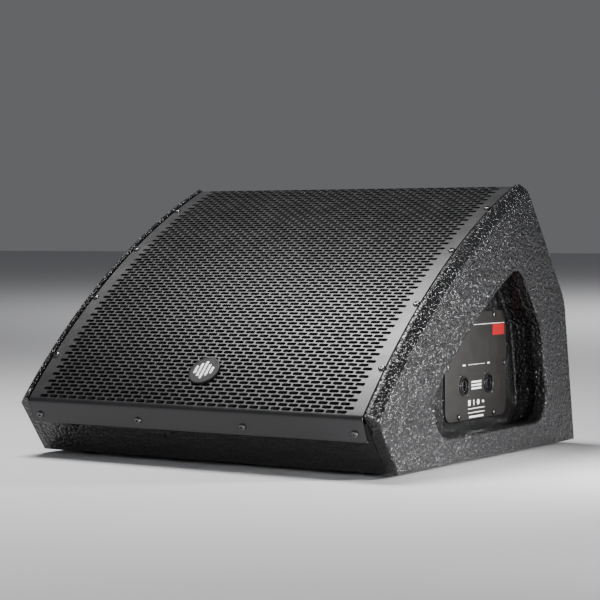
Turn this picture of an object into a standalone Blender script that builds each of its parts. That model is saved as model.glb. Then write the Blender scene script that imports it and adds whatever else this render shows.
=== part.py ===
"""Passive stage monitor wedge: a low plywood cabinet with a curved perforated grille.

Frame: metres, +Z up, +X to the right seen from the front, +Y to the back. The origin is on the
floor under the centre of the cabinet. Two empties carry what stands on the sloping front:
front_frame (+Y up the slope, +Z out of it) and driver_axis, on which the cone slides.
"""
from math import asin, atan2, cos, pi, radians, sin, sqrt, tau

import bmesh
import bpy
from mathutils import Matrix, Vector

# ---- Driving dimensions -------------------------------------------------------------------
WIDTH = 0.500                    # over the side panels
PLY = 0.015                      # plywood of the cabinet's boards
BAFFLE_T = 0.018                 # plywood of the baffle
GAP = 0.0003                     # clearance between pieces that touch
FOOT_HEIGHT = 0.005
FOOT_RADIUS = 0.015

# Side view of the cabinet, as (Y, Z)
TOE = Vector((-0.2030, FOOT_HEIGHT))
HEEL = Vector((0.2515, FOOT_HEIGHT))
KINK = Vector((0.2208, 0.1848))
FRONT_MIDDLE = Vector((-0.0709, 0.1980))    # middle of the chord of the curved front
FRONT_TILT = radians(35.5)
FRONT_CHORD = 0.4433
FRONT_RISE = 0.0258              # of the curved front above its chord
KINK_RADIUS = 0.060

PANEL_PROUD = 0.0015             # side panels stand this far proud of the grille
CHAMFER = 0.0095                 # on the outer edge of the side panels' curved front

# Handle opening in each side panel: its edges run parallel to the panel's own edges
OPENING_FROM_FRONT = 0.082
OPENING_FROM_SLOPE = 0.074
OPENING_FROM_REAR = 0.072
OPENING_FROM_BASE = 0.031
OPENING_RADIUS_TOE = 0.035
OPENING_RADIUS_TOP = 0.028
OPENING_RADIUS_HEEL = 0.032
WELL_DEPTH = 0.048               # from the outside of the panel to the floor of the well
WELL_FLOOR = 0.009
WELL_WALL = 0.005
WELL_UNDERCUT = 0.010            # finger room behind the rim

GRILLE_T = 0.0015
GRILLE_HALF = 0.2330
LIP = 0.0295
LIP_LEAN = radians(13.5)         # away from square to the chord
TOP_LIP = 0.012
BOARD_INSET = 0.0032             # rear boards lie this deep between the side panels
BAFFLE_BACK = 0.008              # baffle's front face behind the chord
RAIL_W = 0.020
FOAM_T = 0.004
BADGE_RADIUS = 0.0198
BADGE_T = 0.0025
BADGE_FROM_FOLD = 0.0550

SCREW_HEAD_R = 0.0040
SCREW_HEAD_H = 0.0022
SCREW_SHANK_R = 0.0018
SCREW_LENGTH = 0.012
SCREW_SIDES = 8
SIDE_SCREW_X = 0.2293
SIDE_SCREW_SPOTS = (0.158, 0.388, 0.617, 0.846)     # shares of the curved front's length
LIP_SCREW_X = (-0.220, -0.0733, 0.0733, 0.220)
LIP_SCREW_DOWN = 0.0190          # from the fold

PLATE = Vector((0.1575, 0.130))   # connector plate, along Y and Z
PLATE_MIDDLE = Vector((0.0673, 0.1085))
PLATE_T = 0.002
PLATE_RADIUS = 0.012
PLATE_SCREW_IN = 0.0048
PLATE_SCREW_Y = 0.0455            # of the upper and lower screws, from the plate's middle
SOCKET_SPACING = 0.0635
SOCKET_Z = 0.0850
SOCKET_R = 0.0120

DRIVER_UP = 0.008                # driver's centre above the front's middle
RINGS = 32                       # sides of the driver's turned pieces
SMALL_RINGS = 20
PORT_X = 0.152
PORT_Y = 0.150
PORT_R = 0.0290
PORT_LENGTH = 0.090

INNER = WIDTH / 2 - PLY          # half the room between the side panels
BOARD_HALF = INNER - GAP
ARC_R = (FRONT_CHORD ** 2 / 4 + FRONT_RISE ** 2) / (2 * FRONT_RISE)
ARC_DROP = ARC_R - FRONT_RISE    # centre of the curve below its chord


# ---- Scene --------------------------------------------------------------------------------
for old in list(bpy.data.objects):
    bpy.data.objects.remove(old, do_unlink=True)

wedge = bpy.data.collections.new("stage_monitor_wedge")
cutters = bpy.data.collections.new("cutters")
bpy.context.scene.collection.children.link(wedge)
bpy.context.scene.collection.children.link(cutters)


def finish(name, colour, roughness, metallic=0.0):
    """A Principled material."""
    material = bpy.data.materials.new(name)
    material.use_nodes = True
    shader = material.node_tree.nodes["Principled BSDF"]
    shader.inputs["Base Color"].default_value = (*colour, 1.0)
    shader.inputs["Roughness"].default_value = roughness
    shader.inputs["Metallic"].default_value = metallic
    material.diffuse_color = (*colour, 1.0)
    return material


PAINT = finish("textured_paint", (0.018, 0.018, 0.019), 0.55)
BARE_PLY = finish("painted_ply", (0.030, 0.028, 0.026), 0.80)
GRILLE_COAT = finish("grille_powder_coat", (0.045, 0.045, 0.048), 0.42, 0.2)
FOAM = finish("open_cell_foam", (0.012, 0.012, 0.013), 0.95)
BADGE_FACE = finish("badge_face", (0.070, 0.070, 0.075), 0.35)
PLATE_COAT = finish("plate_powder_coat", (0.055, 0.052, 0.050), 0.45, 0.2)
SOCKET_PLASTIC = finish("socket_plastic", (0.012, 0.012, 0.013), 0.35)
BLACK_STEEL = finish("black_steel", (0.030, 0.030, 0.032), 0.30, 0.9)
CAST_ALLOY = finish("cast_alloy", (0.045, 0.045, 0.048), 0.50, 0.4)
FERRITE = finish("ferrite_magnet", (0.080, 0.080, 0.085), 0.60, 0.3)
CONE_PAPER = finish("cone_paper", (0.020, 0.020, 0.022), 0.75)
SURROUND_CLOTH = finish("surround_cloth", (0.015, 0.015, 0.016), 0.65)
SPIDER_CLOTH = finish("spider_cloth", (0.420, 0.310, 0.150), 0.85)
COIL_COPPER = finish("coil_copper", (0.620, 0.300, 0.160), 0.35, 1.0)
HORN_PLASTIC = finish("horn_plastic", (0.016, 0.016, 0.017), 0.40)
TITANIUM = finish("titanium_foil", (0.500, 0.480, 0.460), 0.30, 1.0)
BOARD_GREEN = finish("board_laminate", (0.040, 0.160, 0.070), 0.50)
CAPACITOR_FILM = finish("capacitor_film", (0.550, 0.420, 0.060), 0.40)
CABLE_PVC = finish("cable_pvc", (0.020, 0.020, 0.020), 0.45)
PORT_PLASTIC = finish("port_plastic", (0.018, 0.018, 0.018), 0.45)
RUBBER = finish("foot_rubber", (0.015, 0.015, 0.015), 0.80)
WADDING = finish("polyester_wadding", (0.550, 0.550, 0.540), 0.95)


# ---- Side view geometry -------------------------------------------------------------------
def front(along, out):
    """A (Y, Z) point from its place on the sloping front: up the slope, and out of it."""
    c, s = cos(FRONT_TILT), sin(FRONT_TILT)
    return FRONT_MIDDLE + Vector((along * c - out * s, along * s + out * c))


def bulge(along, inset=0.0):
    """How far the curved front, taken inset deep, stands out of its chord at a place along it."""
    return sqrt((ARC_R - inset) ** 2 - along ** 2) - ARC_DROP


ARC_CENTRE = front(0.0, -ARC_DROP)
TOP = front(0.2227, 0.0018)
CHIN = front(-0.2200, -0.0059)


def inward(start, end):
    """Unit normal of a panel edge, pointing into the panel; edges run toe, heel, kink, top."""
    run = (end - start).normalized()
    return Vector((-run.y, run.x))


def line_meets_line(p, p_normal, q, q_normal):
    """Where two lines meet, each given by a point and its unit normal."""
    system = Matrix((p_normal, q_normal))
    return system.inverted() @ Vector((p.dot(p_normal), q.dot(q_normal)))


def line_meets_arc(p, normal, radius, forward):
    """Where a line meets a circle about the front's centre, on its front or its rear side."""
    run = Vector((-normal.y, normal.x))
    offset = p - ARC_CENTRE
    half = offset.dot(run)
    root = sqrt(half ** 2 - offset.length_squared + radius ** 2)
    hits = [p + run * (-half + sign * root) for sign in (-1, 1)]
    return min(hits, key=lambda hit: hit.x) if forward else max(hits, key=lambda hit: hit.y)


def arc(centre, start, end, steps):
    """Points on the short way round a centre, from start to end."""
    a, b = start - centre, end - centre
    angle = atan2(a.x * b.y - a.y * b.x, a.dot(b))
    turns = [Matrix.Rotation(angle * i / steps, 2) for i in range(steps + 1)]
    return [centre + turn @ a for turn in turns]


SLOPE_IN = inward(KINK, TOP)
REAR_IN = inward(HEEL, KINK)
CHIN_IN = inward(CHIN, TOE)
UP = Vector((0.0, 1.0))


def kink_arc(inset, steps):
    """The rounded corner between the rear and the slope, inset from the outside."""
    corner = line_meets_line(KINK + REAR_IN * KINK_RADIUS, REAR_IN,
                             KINK + SLOPE_IN * KINK_RADIUS, SLOPE_IN)
    reach = KINK_RADIUS - inset
    return arc(corner, corner - REAR_IN * reach, corner - SLOPE_IN * reach, steps)


def side_outline():
    """The side panel, from the toe round to the chin."""
    radius = ARC_R + PANEL_PROUD
    top = line_meets_arc(TOP, SLOPE_IN, radius, False)
    chin = line_meets_arc(CHIN, CHIN_IN, radius, True)
    return [TOE, HEEL] + kink_arc(0.0, 6) + arc(ARC_CENTRE, top, chin, 22)


def opening_outline(grow):
    """The handle opening, a rounded triangle, grown outwards by an amount."""
    radius = ARC_R - OPENING_FROM_FRONT + grow
    slope = KINK + SLOPE_IN * (OPENING_FROM_SLOPE - grow)
    rear = KINK + REAR_IN * (OPENING_FROM_REAR - grow)
    base = TOE + UP * (OPENING_FROM_BASE - grow)

    def beside_arc(point, normal, bend, forward):
        centre = line_meets_arc(point + normal * bend, normal, radius - bend, forward)
        on_arc = ARC_CENTRE + (centre - ARC_CENTRE).normalized() * radius
        return centre, on_arc, centre - normal * bend

    toe, toe_arc, toe_base = beside_arc(base, UP, OPENING_RADIUS_TOE + grow, True)
    top, top_arc, top_slope = beside_arc(slope, SLOPE_IN, OPENING_RADIUS_TOP + grow, False)
    bend = OPENING_RADIUS_HEEL + grow
    heel = line_meets_line(base + UP * bend, UP, rear + REAR_IN * bend, REAR_IN)
    kink_bend = KINK_RADIUS - OPENING_FROM_REAR / 2 + grow
    kink = line_meets_line(slope + SLOPE_IN * kink_bend, SLOPE_IN, rear + REAR_IN * kink_bend, REAR_IN)
    return (arc(heel, heel - UP * bend, heel - REAR_IN * bend, 7)
            + arc(kink, kink - REAR_IN * kink_bend, kink - SLOPE_IN * kink_bend, 4)
            + arc(top, top_slope, top_arc, 6)
            + arc(ARC_CENTRE, top_arc, toe_arc, 8)[1:-1]
            + arc(toe, toe_arc, toe_base, 8))


# ---- Makers -------------------------------------------------------------------------------
def node(name, mesh, material, parent=None, place=Matrix()):
    """A finished piece in the wedge's collection."""
    mesh.materials.clear()
    mesh.materials.append(material)
    piece = bpy.data.objects.new(name, mesh)
    wedge.objects.link(piece)
    piece.parent = parent
    piece.matrix_local = place
    return piece


def hide_as_cutter(tool):
    """Moves a piece out of the model, to be a cutter."""
    for home in tool.users_collection:
        home.objects.unlink(tool)
    cutters.objects.link(tool)
    tool.hide_render = True
    tool.display_type = "WIRE"
    return tool


def cut(piece, tool):
    """Cuts a tool's shape out of a piece."""
    boolean = piece.modifiers.new("cut_" + tool.name, "BOOLEAN")
    boolean.operation = "DIFFERENCE"
    boolean.solver = "EXACT"
    boolean.object = tool


def slab_mesh(name, outline, thickness):
    """A flat outline in XY, given a thickness about Z."""
    curve = bpy.data.curves.new(name, "CURVE")
    curve.dimensions = "2D"
    curve.fill_mode = "BOTH"
    curve.extrude = thickness / 2
    spline = curve.splines.new("POLY")
    spline.points.add(len(outline) - 1)
    for point, (x, y) in zip(spline.points, outline):
        point.co = (x, y, 0.0, 1.0)
    spline.use_cyclic_u = True
    guide = bpy.data.objects.new(name, curve)
    cutters.objects.link(guide)
    bpy.context.view_layer.update()
    solid = guide.evaluated_get(bpy.context.evaluated_depsgraph_get())
    mesh = bpy.data.meshes.new_from_object(solid)
    bpy.data.objects.remove(guide)
    bpy.data.curves.remove(curve)
    shape = bmesh.new()
    shape.from_mesh(mesh)
    bmesh.ops.remove_doubles(shape, verts=shape.verts, dist=0.00002)
    bmesh.ops.recalc_face_normals(shape, faces=shape.faces)
    shape.to_mesh(mesh)
    shape.free()
    return mesh


SIDEWAYS = Matrix(((0, 0, 1, 0), (1, 0, 0, 0), (0, 1, 0, 0), (0, 0, 0, 1)))


def board(name, outline, material, x_from=-BOARD_HALF, x_to=BOARD_HALF, parent=None):
    """A board whose (Y, Z) outline runs across the cabinet from one X to another."""
    mesh = slab_mesh(name, outline, x_to - x_from)
    place = Matrix.Translation(((x_from + x_to) / 2, 0, 0)) @ SIDEWAYS
    return node(name, mesh, material, parent, place)


def turned(name, profile, material, sides, parent=None, place=Matrix(), closed=False):
    """A profile of (radius, height) points turned about Z; its outer side runs downwards."""
    shape = bmesh.new()
    points = [shape.verts.new((r, 0.0, z)) for r, z in profile]
    for a, b in zip(points, points[1:]):
        shape.edges.new((a, b))
    if closed:
        shape.edges.new((points[-1], points[0]))
    mesh = bpy.data.meshes.new(name)
    shape.to_mesh(mesh)
    shape.free()
    piece = node(name, mesh, material, parent, place)
    screw = piece.modifiers.new("turn", "SCREW")
    screw.steps = sides
    screw.render_steps = sides
    screw.use_merge_vertices = True
    screw.merge_threshold = 0.00002
    screw.use_smooth_shade = True
    return piece


def pegs(name, places, radius, low, high, sides=SCREW_SIDES):
    """One cutter made of a round peg at each place, along its own Z."""
    shape = bmesh.new()
    for place in places:
        centre = place @ Matrix.Translation((0, 0, (low + high) / 2))
        bmesh.ops.create_cone(shape, cap_ends=True, segments=sides, radius1=radius,
                              radius2=radius, depth=high - low, matrix=centre)
    mesh = bpy.data.meshes.new(name)
    shape.to_mesh(mesh)
    shape.free()
    tool = bpy.data.objects.new(name, mesh)
    cutters.objects.link(tool)
    return hide_as_cutter(tool)


def empty(name, place, parent=None):
    """An empty that carries other pieces."""
    holder = bpy.data.objects.new(name, None)
    wedge.objects.link(holder)
    holder.parent = parent
    holder.matrix_local = place
    return holder


# ---- Frames and screw places --------------------------------------------------------------
FRONT_PLACE = (Matrix.Translation((0, FRONT_MIDDLE.x, FRONT_MIDDLE.y))
               @ Matrix.Rotation(FRONT_TILT, 4, "X"))
front_frame = empty("front_frame", FRONT_PLACE)
driver_axis = empty("driver_axis", Matrix.Translation((0, DRIVER_UP, -BAFFLE_BACK)), front_frame)

HALF_ANGLE = asin(FRONT_CHORD / 2 / ARC_R)


def on_curve(x, share):
    """A place on the grille's outer face, its Z square to the face."""
    lean = HALF_ANGLE * (1 - 2 * share)
    centre = Matrix.Translation((x, 0, -ARC_DROP))
    return centre @ Matrix.Rotation(lean, 4, "X") @ Matrix.Translation((0, 0, ARC_R))


def on_lip(x, down):
    """A place on the lip's outer face, its Z square to the face."""
    fold = Matrix.Translation((x, -FRONT_CHORD / 2, 0)) @ Matrix.Rotation(pi / 2 - LIP_LEAN, 4, "X")
    return fold @ Matrix.Translation((0, -down, 0))


SIDE_SCREWS = [on_curve(side * SIDE_SCREW_X, share) for side in (-1, 1) for share in SIDE_SCREW_SPOTS]
LIP_SCREWS = [on_lip(x, LIP_SCREW_DOWN) for x in LIP_SCREW_X]
FACING_RIGHT = Matrix.Rotation(pi / 2, 4, "Y")
PLATE_FACE = INNER + PLY - WELL_DEPTH + GAP + PLATE_T


def on_plate(along, up):
    """A place on the connector plate's outer face, measured from its middle."""
    spot = Matrix.Translation((PLATE_FACE, PLATE_MIDDLE.x + along, PLATE_MIDDLE.y + up))
    return spot @ FACING_RIGHT


PLATE_EDGE_Y = PLATE.x / 2 - PLATE_SCREW_IN
PLATE_EDGE_Z = PLATE.y / 2 - PLATE_SCREW_IN
PLATE_SCREWS = [on_plate(along, up) for along, up in (
    (-PLATE_SCREW_Y, -PLATE_EDGE_Z), (PLATE_SCREW_Y, -PLATE_EDGE_Z), (-PLATE_SCREW_Y, PLATE_EDGE_Z),
    (PLATE_SCREW_Y, PLATE_EDGE_Z), (-PLATE_EDGE_Y, 0.0), (PLATE_EDGE_Y, 0.0))]
SOCKETS = [on_plate(side * SOCKET_SPACING / 2, SOCKET_Z - PLATE_MIDDLE.y) for side in (-1, 1)]


# ---- Cabinet ------------------------------------------------------------------------------
def side_panel(name, side):
    """A plywood side with a chamfered front and a handle opening; side is 1 for the right."""
    outline = side_outline()
    x_from, x_to = sorted((side * INNER, side * WIDTH / 2))
    panel = board(name, outline, PAINT, x_from, x_to)
    arc_points = {(round(p.x, 5), round(p.y, 5)) for p in outline[-23:]}
    shape = bmesh.new()
    shape.from_mesh(panel.data)
    outer = [v for v in shape.verts
             if v.co.z * side > 0 and (round(v.co.x, 5), round(v.co.y, 5)) in arc_points]
    rim = [e for e in shape.edges if all(v in outer for v in e.verts) and len(e.link_faces) == 2
           and abs(e.link_faces[0].normal.z - e.link_faces[1].normal.z) > 0.5]
    bmesh.ops.bevel(shape, geom=rim, offset=CHAMFER, offset_type="OFFSET", segments=1,
                    affect="EDGES", clamp_overlap=False)
    shape.to_mesh(panel.data)
    shape.free()
    hole = board(name + "_opening", opening_outline(0.0), PAINT, x_from - PLY, x_to + PLY)
    cut(panel, hide_as_cutter(hole))
    return panel


def handle_well(name, side, window):
    """The open box behind a handle opening; the right one has a window for the sockets."""
    back = INNER + PLY - WELL_DEPTH - WELL_FLOOR
    x_from, x_to = sorted((side * back, side * BOARD_HALF))
    well = board(name, opening_outline(WELL_UNDERCUT + WELL_WALL), PAINT, x_from, x_to)
    inner_from, inner_to = sorted((side * (back + WELL_FLOOR), side * (INNER + PLY)))
    room = board(name + "_room", opening_outline(WELL_UNDERCUT), PAINT, inner_from, inner_to)
    cut(well, hide_as_cutter(room))
    if window:
        cut(well, pegs(name + "_screw_holes", PLATE_SCREWS, SCREW_SHANK_R + GAP, -0.03, 0.01))
        cut(well, pegs(name + "_socket_holes", SOCKETS, SOCKET_R + 0.002, -0.03, 0.01, 20))
    return well


side_panel("side_panel_left", -1)
side_panel("side_panel_right", 1)
handle_well("handle_well_left", -1, False)
handle_well("handle_well_right", 1, True)


def along_line(point, normal, height):
    """The point of a line at a given Z."""
    run = Vector((-normal.y, normal.x))
    return point + run * ((height - point.y) / run.y)


deck = FOOT_HEIGHT + PLY
heel_in = HEEL + REAR_IN * BOARD_INSET
board("bottom_panel", [TOE, along_line(heel_in, REAR_IN, FOOT_HEIGHT), along_line(heel_in, REAR_IN, deck),
                       along_line(TOE, CHIN_IN, deck)], PAINT)

chin_top = front(-0.2199, -BAFFLE_BACK - BAFFLE_T - GAP)
chin_inside = TOE + CHIN_IN * PLY
board("chin_panel", [
    along_line(TOE, CHIN_IN, deck + GAP), along_line(chin_inside, CHIN_IN, deck + GAP),
    chin_top + CHIN_IN * PLY, chin_top], PAINT)

outer_bend = kink_arc(BOARD_INSET, 6)
slope_inside = SLOPE_IN * (BOARD_INSET + PLY)
inner_bend = line_meets_line(KINK + REAR_IN * (BOARD_INSET + PLY), REAR_IN, KINK + slope_inside, SLOPE_IN)
seam = (inner_bend - outer_bend[3]).orthogonal().normalized() * (GAP / 2)
seam = seam if seam.y > 0 else -seam
rear_inside = REAR_IN * (BOARD_INSET + PLY)
board("rear_panel", [
    along_line(HEEL + rear_inside, REAR_IN, deck + GAP),
    along_line(HEEL + REAR_IN * BOARD_INSET, REAR_IN, deck + GAP)]
    + outer_bend[:3] + [outer_bend[3] - seam, inner_bend - seam], PAINT)
under_grille = ARC_R - GRILLE_T - GAP
slope_top = line_meets_arc(TOP + SLOPE_IN * BOARD_INSET, SLOPE_IN, under_grille, False)
slope_top_inside = line_meets_arc(TOP + slope_inside, SLOPE_IN, under_grille, False)
board("rear_slope_panel", [inner_bend + seam, outer_bend[3] + seam] + outer_bend[4:]
      + [slope_top, slope_top_inside], PAINT)

foot_profile = [(0, FOOT_HEIGHT - GAP), (FOOT_RADIUS, FOOT_HEIGHT - GAP), (FOOT_RADIUS - 0.0015, 0), (0, 0)]
for corner, x, y in (("front_left", -1, -0.165), ("front_right", 1, -0.165),
                     ("rear_left", -1, 0.212), ("rear_right", 1, 0.212)):
    turned("foot_" + corner, foot_profile, RUBBER, SMALL_RINGS, place=Matrix.Translation((x * 0.200, y, 0)))


# ---- Front: baffle, rails, grille, foam, badge --------------------------------------------
def lip_inside(depth):
    """Place along the slope of the lip's inner face, at a depth behind the chord."""
    return -FRONT_CHORD / 2 - depth * sin(LIP_LEAN) / cos(LIP_LEAN) + (GRILLE_T + GAP) / cos(LIP_LEAN)


UP_SLOPE = Vector((cos(FRONT_TILT), sin(FRONT_TILT)))
OUT_OF_SLOPE = Vector((-sin(FRONT_TILT), cos(FRONT_TILT)))
BAFFLE_TOP = (TOP - FRONT_MIDDLE).dot(UP_SLOPE) - PLY - BOARD_INSET - GAP
baffle_low, baffle_high = BAFFLE_BACK + BAFFLE_T, BAFFLE_BACK
baffle = board("baffle", [
    (lip_inside(baffle_high), -baffle_high), (lip_inside(baffle_low), -baffle_low),
    (BAFFLE_TOP, -baffle_low), (BAFFLE_TOP, -baffle_high)], BARE_PLY, parent=front_frame)
DRIVER_PLACE = Matrix.Translation((0, DRIVER_UP, -BAFFLE_BACK))
PORT_PLACES = [Matrix.Translation((side * PORT_X, PORT_Y, -BAFFLE_BACK)) for side in (-1, 1)]


def front_cutter(name, places, radius, low, high, sides=SCREW_SIDES):
    """Round holes in the pieces of the front."""
    return pegs(name, [FRONT_PLACE @ place for place in places], radius, low, high, sides)


cut(baffle, front_cutter("driver_cutout", [DRIVER_PLACE], 0.1435, -0.05, 0.05, RINGS))
cut(baffle, front_cutter("driver_rebate", [DRIVER_PLACE], 0.1570, -0.0063, 0.05, RINGS))
cut(baffle, front_cutter("port_holes", PORT_PLACES, PORT_R + 2 * GAP, -0.05, 0.05, SMALL_RINGS))
cut(baffle, front_cutter("lip_screw_holes", LIP_SCREWS, SCREW_SHANK_R + GAP, -0.03, 0.01))


def curved_strip(start, end, outer_inset, inner_inset, steps):
    """Outline, in the front frame, of a strip that follows the curved front."""
    places = [start + (end - start) * i / steps for i in range(steps + 1)]
    outer = [(p, bulge(p, outer_inset)) for p in places]
    inner = [(p, bulge(p, inner_inset)) for p in reversed(places)]
    return outer + inner


for name, side in (("grille_rail_left", -1), ("grille_rail_right", 1)):
    places = [-0.214 + 0.418 * i / 12 for i in range(13)]
    outline = [(p, bulge(p, GRILLE_T + GAP)) for p in places]
    outline += [(places[-1], -BAFFLE_BACK + GAP), (places[0], -BAFFLE_BACK + GAP)]
    x_from, x_to = sorted((side * BOARD_HALF, side * (BOARD_HALF - RAIL_W)))
    rail = board(name, outline, BARE_PLY, x_from, x_to, front_frame)
    cut(rail, front_cutter(name + "_holes", SIDE_SCREWS, SCREW_SHANK_R + GAP, -0.02, 0.01))

foam_half = BOARD_HALF - RAIL_W - 0.001
board("grille_foam", curved_strip(-0.214, 0.204, GRILLE_T + GAP, GRILLE_T + GAP + FOAM_T, 16), FOAM,
      -foam_half, foam_half, front_frame)


def grille_outline():
    """The folded sheet: lower lip, curved front and short upper lip."""
    half = FRONT_CHORD / 2
    down = Vector((-sin(LIP_LEAN), -cos(LIP_LEAN)))
    fold, top_fold = Vector((-half, 0)), Vector((half, bulge(half)))
    slope_run = (KINK - TOP).normalized()
    slope_down = Vector((slope_run.dot(UP_SLOPE), slope_run.dot(OUT_OF_SLOPE)))
    low_end, top_end = fold + down * LIP, top_fold + slope_down * TOP_LIP
    across = Vector((cos(LIP_LEAN), -sin(LIP_LEAN))) * GRILLE_T
    places = [-half + 2 * half * i / 24 for i in range(1, 24)]
    outer = [fold] + [Vector((p, bulge(p))) for p in places] + [top_fold, top_end]
    inner_half = half - GRILLE_T
    inner = [top_end - Vector((GRILLE_T, 0)), Vector((inner_half, bulge(inner_half, GRILLE_T)))]
    inner += [Vector((p, bulge(p, GRILLE_T))) for p in reversed(places)]
    inner += [Vector((-inner_half, bulge(-inner_half, GRILLE_T))), low_end + across, low_end]
    return outer + inner


grille = board("grille", grille_outline(), GRILLE_COAT, -GRILLE_HALF, GRILLE_HALF, front_frame)
cut(grille, front_cutter("grille_screw_holes", SIDE_SCREWS + LIP_SCREWS, SCREW_SHANK_R + GAP, -0.01, 0.01))

badge_share = BADGE_FROM_FOLD / (2 * HALF_ANGLE * ARC_R)
badge_profile = [(0, BADGE_T), (BADGE_RADIUS - 0.001, BADGE_T), (BADGE_RADIUS, BADGE_T - 0.001),
                 (BADGE_RADIUS, 0.0005), (0, 0.0005)]
turned("badge", badge_profile, BADGE_FACE, 32, front_frame, on_curve(0.0, badge_share))


# ---- Screws -------------------------------------------------------------------------------
head_top = GAP + SCREW_HEAD_H
screw_profile = [
    (0, head_top), (SCREW_HEAD_R * 0.6, head_top - 0.0003), (SCREW_HEAD_R, GAP + 0.0008),
    (SCREW_HEAD_R, GAP), (SCREW_SHANK_R, GAP), (SCREW_SHANK_R, 0.002 - SCREW_LENGTH),
    (0, -SCREW_LENGTH)]
for group, places, parent in (("side_screw", SIDE_SCREWS, front_frame), ("lip_screw", LIP_SCREWS, front_frame),
                              ("plate_screw", PLATE_SCREWS, None)):
    for number, place in enumerate(places, 1):
        turned(f"{group}_{number}", screw_profile, BLACK_STEEL, SCREW_SIDES, parent, place)


# ---- Connector plate and sockets ----------------------------------------------------------
def rounded_rectangle(length, height, radius, steps):
    """Outline with round corners, about its middle."""
    outline = []
    for quarter, (sx, sy) in enumerate(((1, 1), (-1, 1), (-1, -1), (1, -1))):
        cx, cy = sx * (length / 2 - radius), sy * (height / 2 - radius)
        for i in range(steps + 1):
            angle = (quarter + i / steps) * pi / 2
            outline.append(Vector((cx + radius * cos(angle), cy + radius * sin(angle))))
    return outline


plate_outline = [PLATE_MIDDLE + p for p in rounded_rectangle(PLATE.x, PLATE.y, PLATE_RADIUS, 4)]
plate = board("connector_plate", plate_outline, PLATE_COAT, PLATE_FACE - PLATE_T, PLATE_FACE)
cut(plate, pegs("plate_screw_holes", PLATE_SCREWS, SCREW_SHANK_R + GAP, -0.03, 0.01))
cut(plate, pegs("plate_socket_holes", SOCKETS, SOCKET_R + GAP, -0.03, 0.01, SMALL_RINGS))

socket_profile = [
    (0, -0.0118), (0.0045, -0.0118), (0.0045, 0.0004), (0.0070, 0.0004), (0.0070, -0.0100),
    (0.0098, -0.0100), (0.0098, 0.0012),
    (SOCKET_R - 0.0008, 0.0012), (SOCKET_R - GAP, 0.0004), (SOCKET_R - GAP, -0.0220), (0, -0.0220)]
for name, place in zip(("input_socket", "link_socket"), SOCKETS):
    turned(name, socket_profile, SOCKET_PLASTIC, SMALL_RINGS, None, place)


# ---- Coaxial driver: fixed pieces ---------------------------------------------------------
# Heights are measured from the baffle's front face, out of the cabinet.
basket_profile = [
    (0.1560, -0.0003), (0.1560, -0.0060), (0.1430, -0.0060), (0.1370, -0.0220), (0.0930, -0.0780),
    (0.0860, -0.0880), (0.0420, -0.0880), (0.0420, -0.0840), (0.0720, -0.0840), (0.0720, -0.0690),
    (0.0800, -0.0690), (0.1330, -0.0215), (0.1400, -0.0060), (0.1415, -0.0003)]
basket = turned("woofer_basket", basket_profile, CAST_ALLOY, RINGS, driver_axis, closed=True)


def basket_windows(count):
    """Slanted openings between the basket's arms."""
    shape = bmesh.new()
    for i in range(count):
        turn = Matrix.Rotation(tau * i / count, 4, "Z")
        place = turn @ Matrix.Translation((0.1080, 0, -0.0500)) @ Matrix.Rotation(radians(38), 4, "Y")
        bmesh.ops.create_cube(shape, size=1.0, matrix=place @ Matrix.Diagonal((0.050, 0.062, 0.036, 1)))
    mesh = bpy.data.meshes.new("basket_windows")
    shape.to_mesh(mesh)
    shape.free()
    tool = bpy.data.objects.new("basket_windows", mesh)
    cutters.objects.link(tool)
    tool.parent = driver_axis
    return hide_as_cutter(tool)


cut(basket, basket_windows(6))

magnet_profile = [
    (0.0190, -0.0860), (0.0362, -0.0860), (0.0362, -0.1160), (0.0402, -0.1160), (0.0402, -0.0884),
    (0.0800, -0.0884), (0.0800, -0.0964), (0.0900, -0.0964), (0.0900, -0.1150), (0.0800, -0.1150),
    (0.0800, -0.1230), (0.0190, -0.1230)]
turned("woofer_magnet", magnet_profile, FERRITE, RINGS, driver_axis, closed=True)

horn_profile = [
    (0.0190, -0.0857), (0.0220, -0.0650), (0.0300, -0.0450), (0.0440, -0.0280), (0.0520, -0.0260),
    (0.0520, -0.0280), (0.0460, -0.0300), (0.0330, -0.0460), (0.0250, -0.0660), (0.0240, -0.0857)]
turned("horn", horn_profile, HORN_PLASTIC, SMALL_RINGS, driver_axis, closed=True)

hf_profile = [
    (0, -0.1540), (0.0320, -0.1540), (0.0320, -0.1420), (0.0190, -0.1340), (0.0190, -0.1233),
    (0.0450, -0.1233), (0.0450, -0.1640), (0.0400, -0.1680), (0, -0.1680)]
turned("hf_driver", hf_profile, CAST_ALLOY, SMALL_RINGS, driver_axis)


def half_roll(inner, outer, height, steps):
    """Points over a half roll between two radii."""
    middle, half = (inner + outer) / 2, (outer - inner) / 2
    turns = [pi * i / steps for i in range(steps + 1)]
    return [(middle - half * cos(a), height * sin(a)) for a in turns]


def with_thickness(points, thickness):
    """A closed profile: a run of points going outwards, and the same run below it."""
    return points + [(r, z - thickness) for r, z in reversed(points)]


surround_run = [(r, z + 0.0012) for r, z in half_roll(0.1260, 0.1405, 0.0085, 5)]
surround_run = [(0.1205, 0.0012)] + surround_run + [(0.1500, 0.0012)]
turned("woofer_surround", with_thickness(surround_run, 0.0009), SURROUND_CLOTH, RINGS, driver_axis, closed=True)

spider_run = [(0.0400 + 0.0040 * i, -0.0680 + 0.0025 * (i % 2)) for i in range(9)] + [(0.0790, -0.0680)]
turned("woofer_spider", with_thickness(spider_run, 0.0007), SPIDER_CLOTH, SMALL_RINGS, driver_axis, closed=True)

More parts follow.
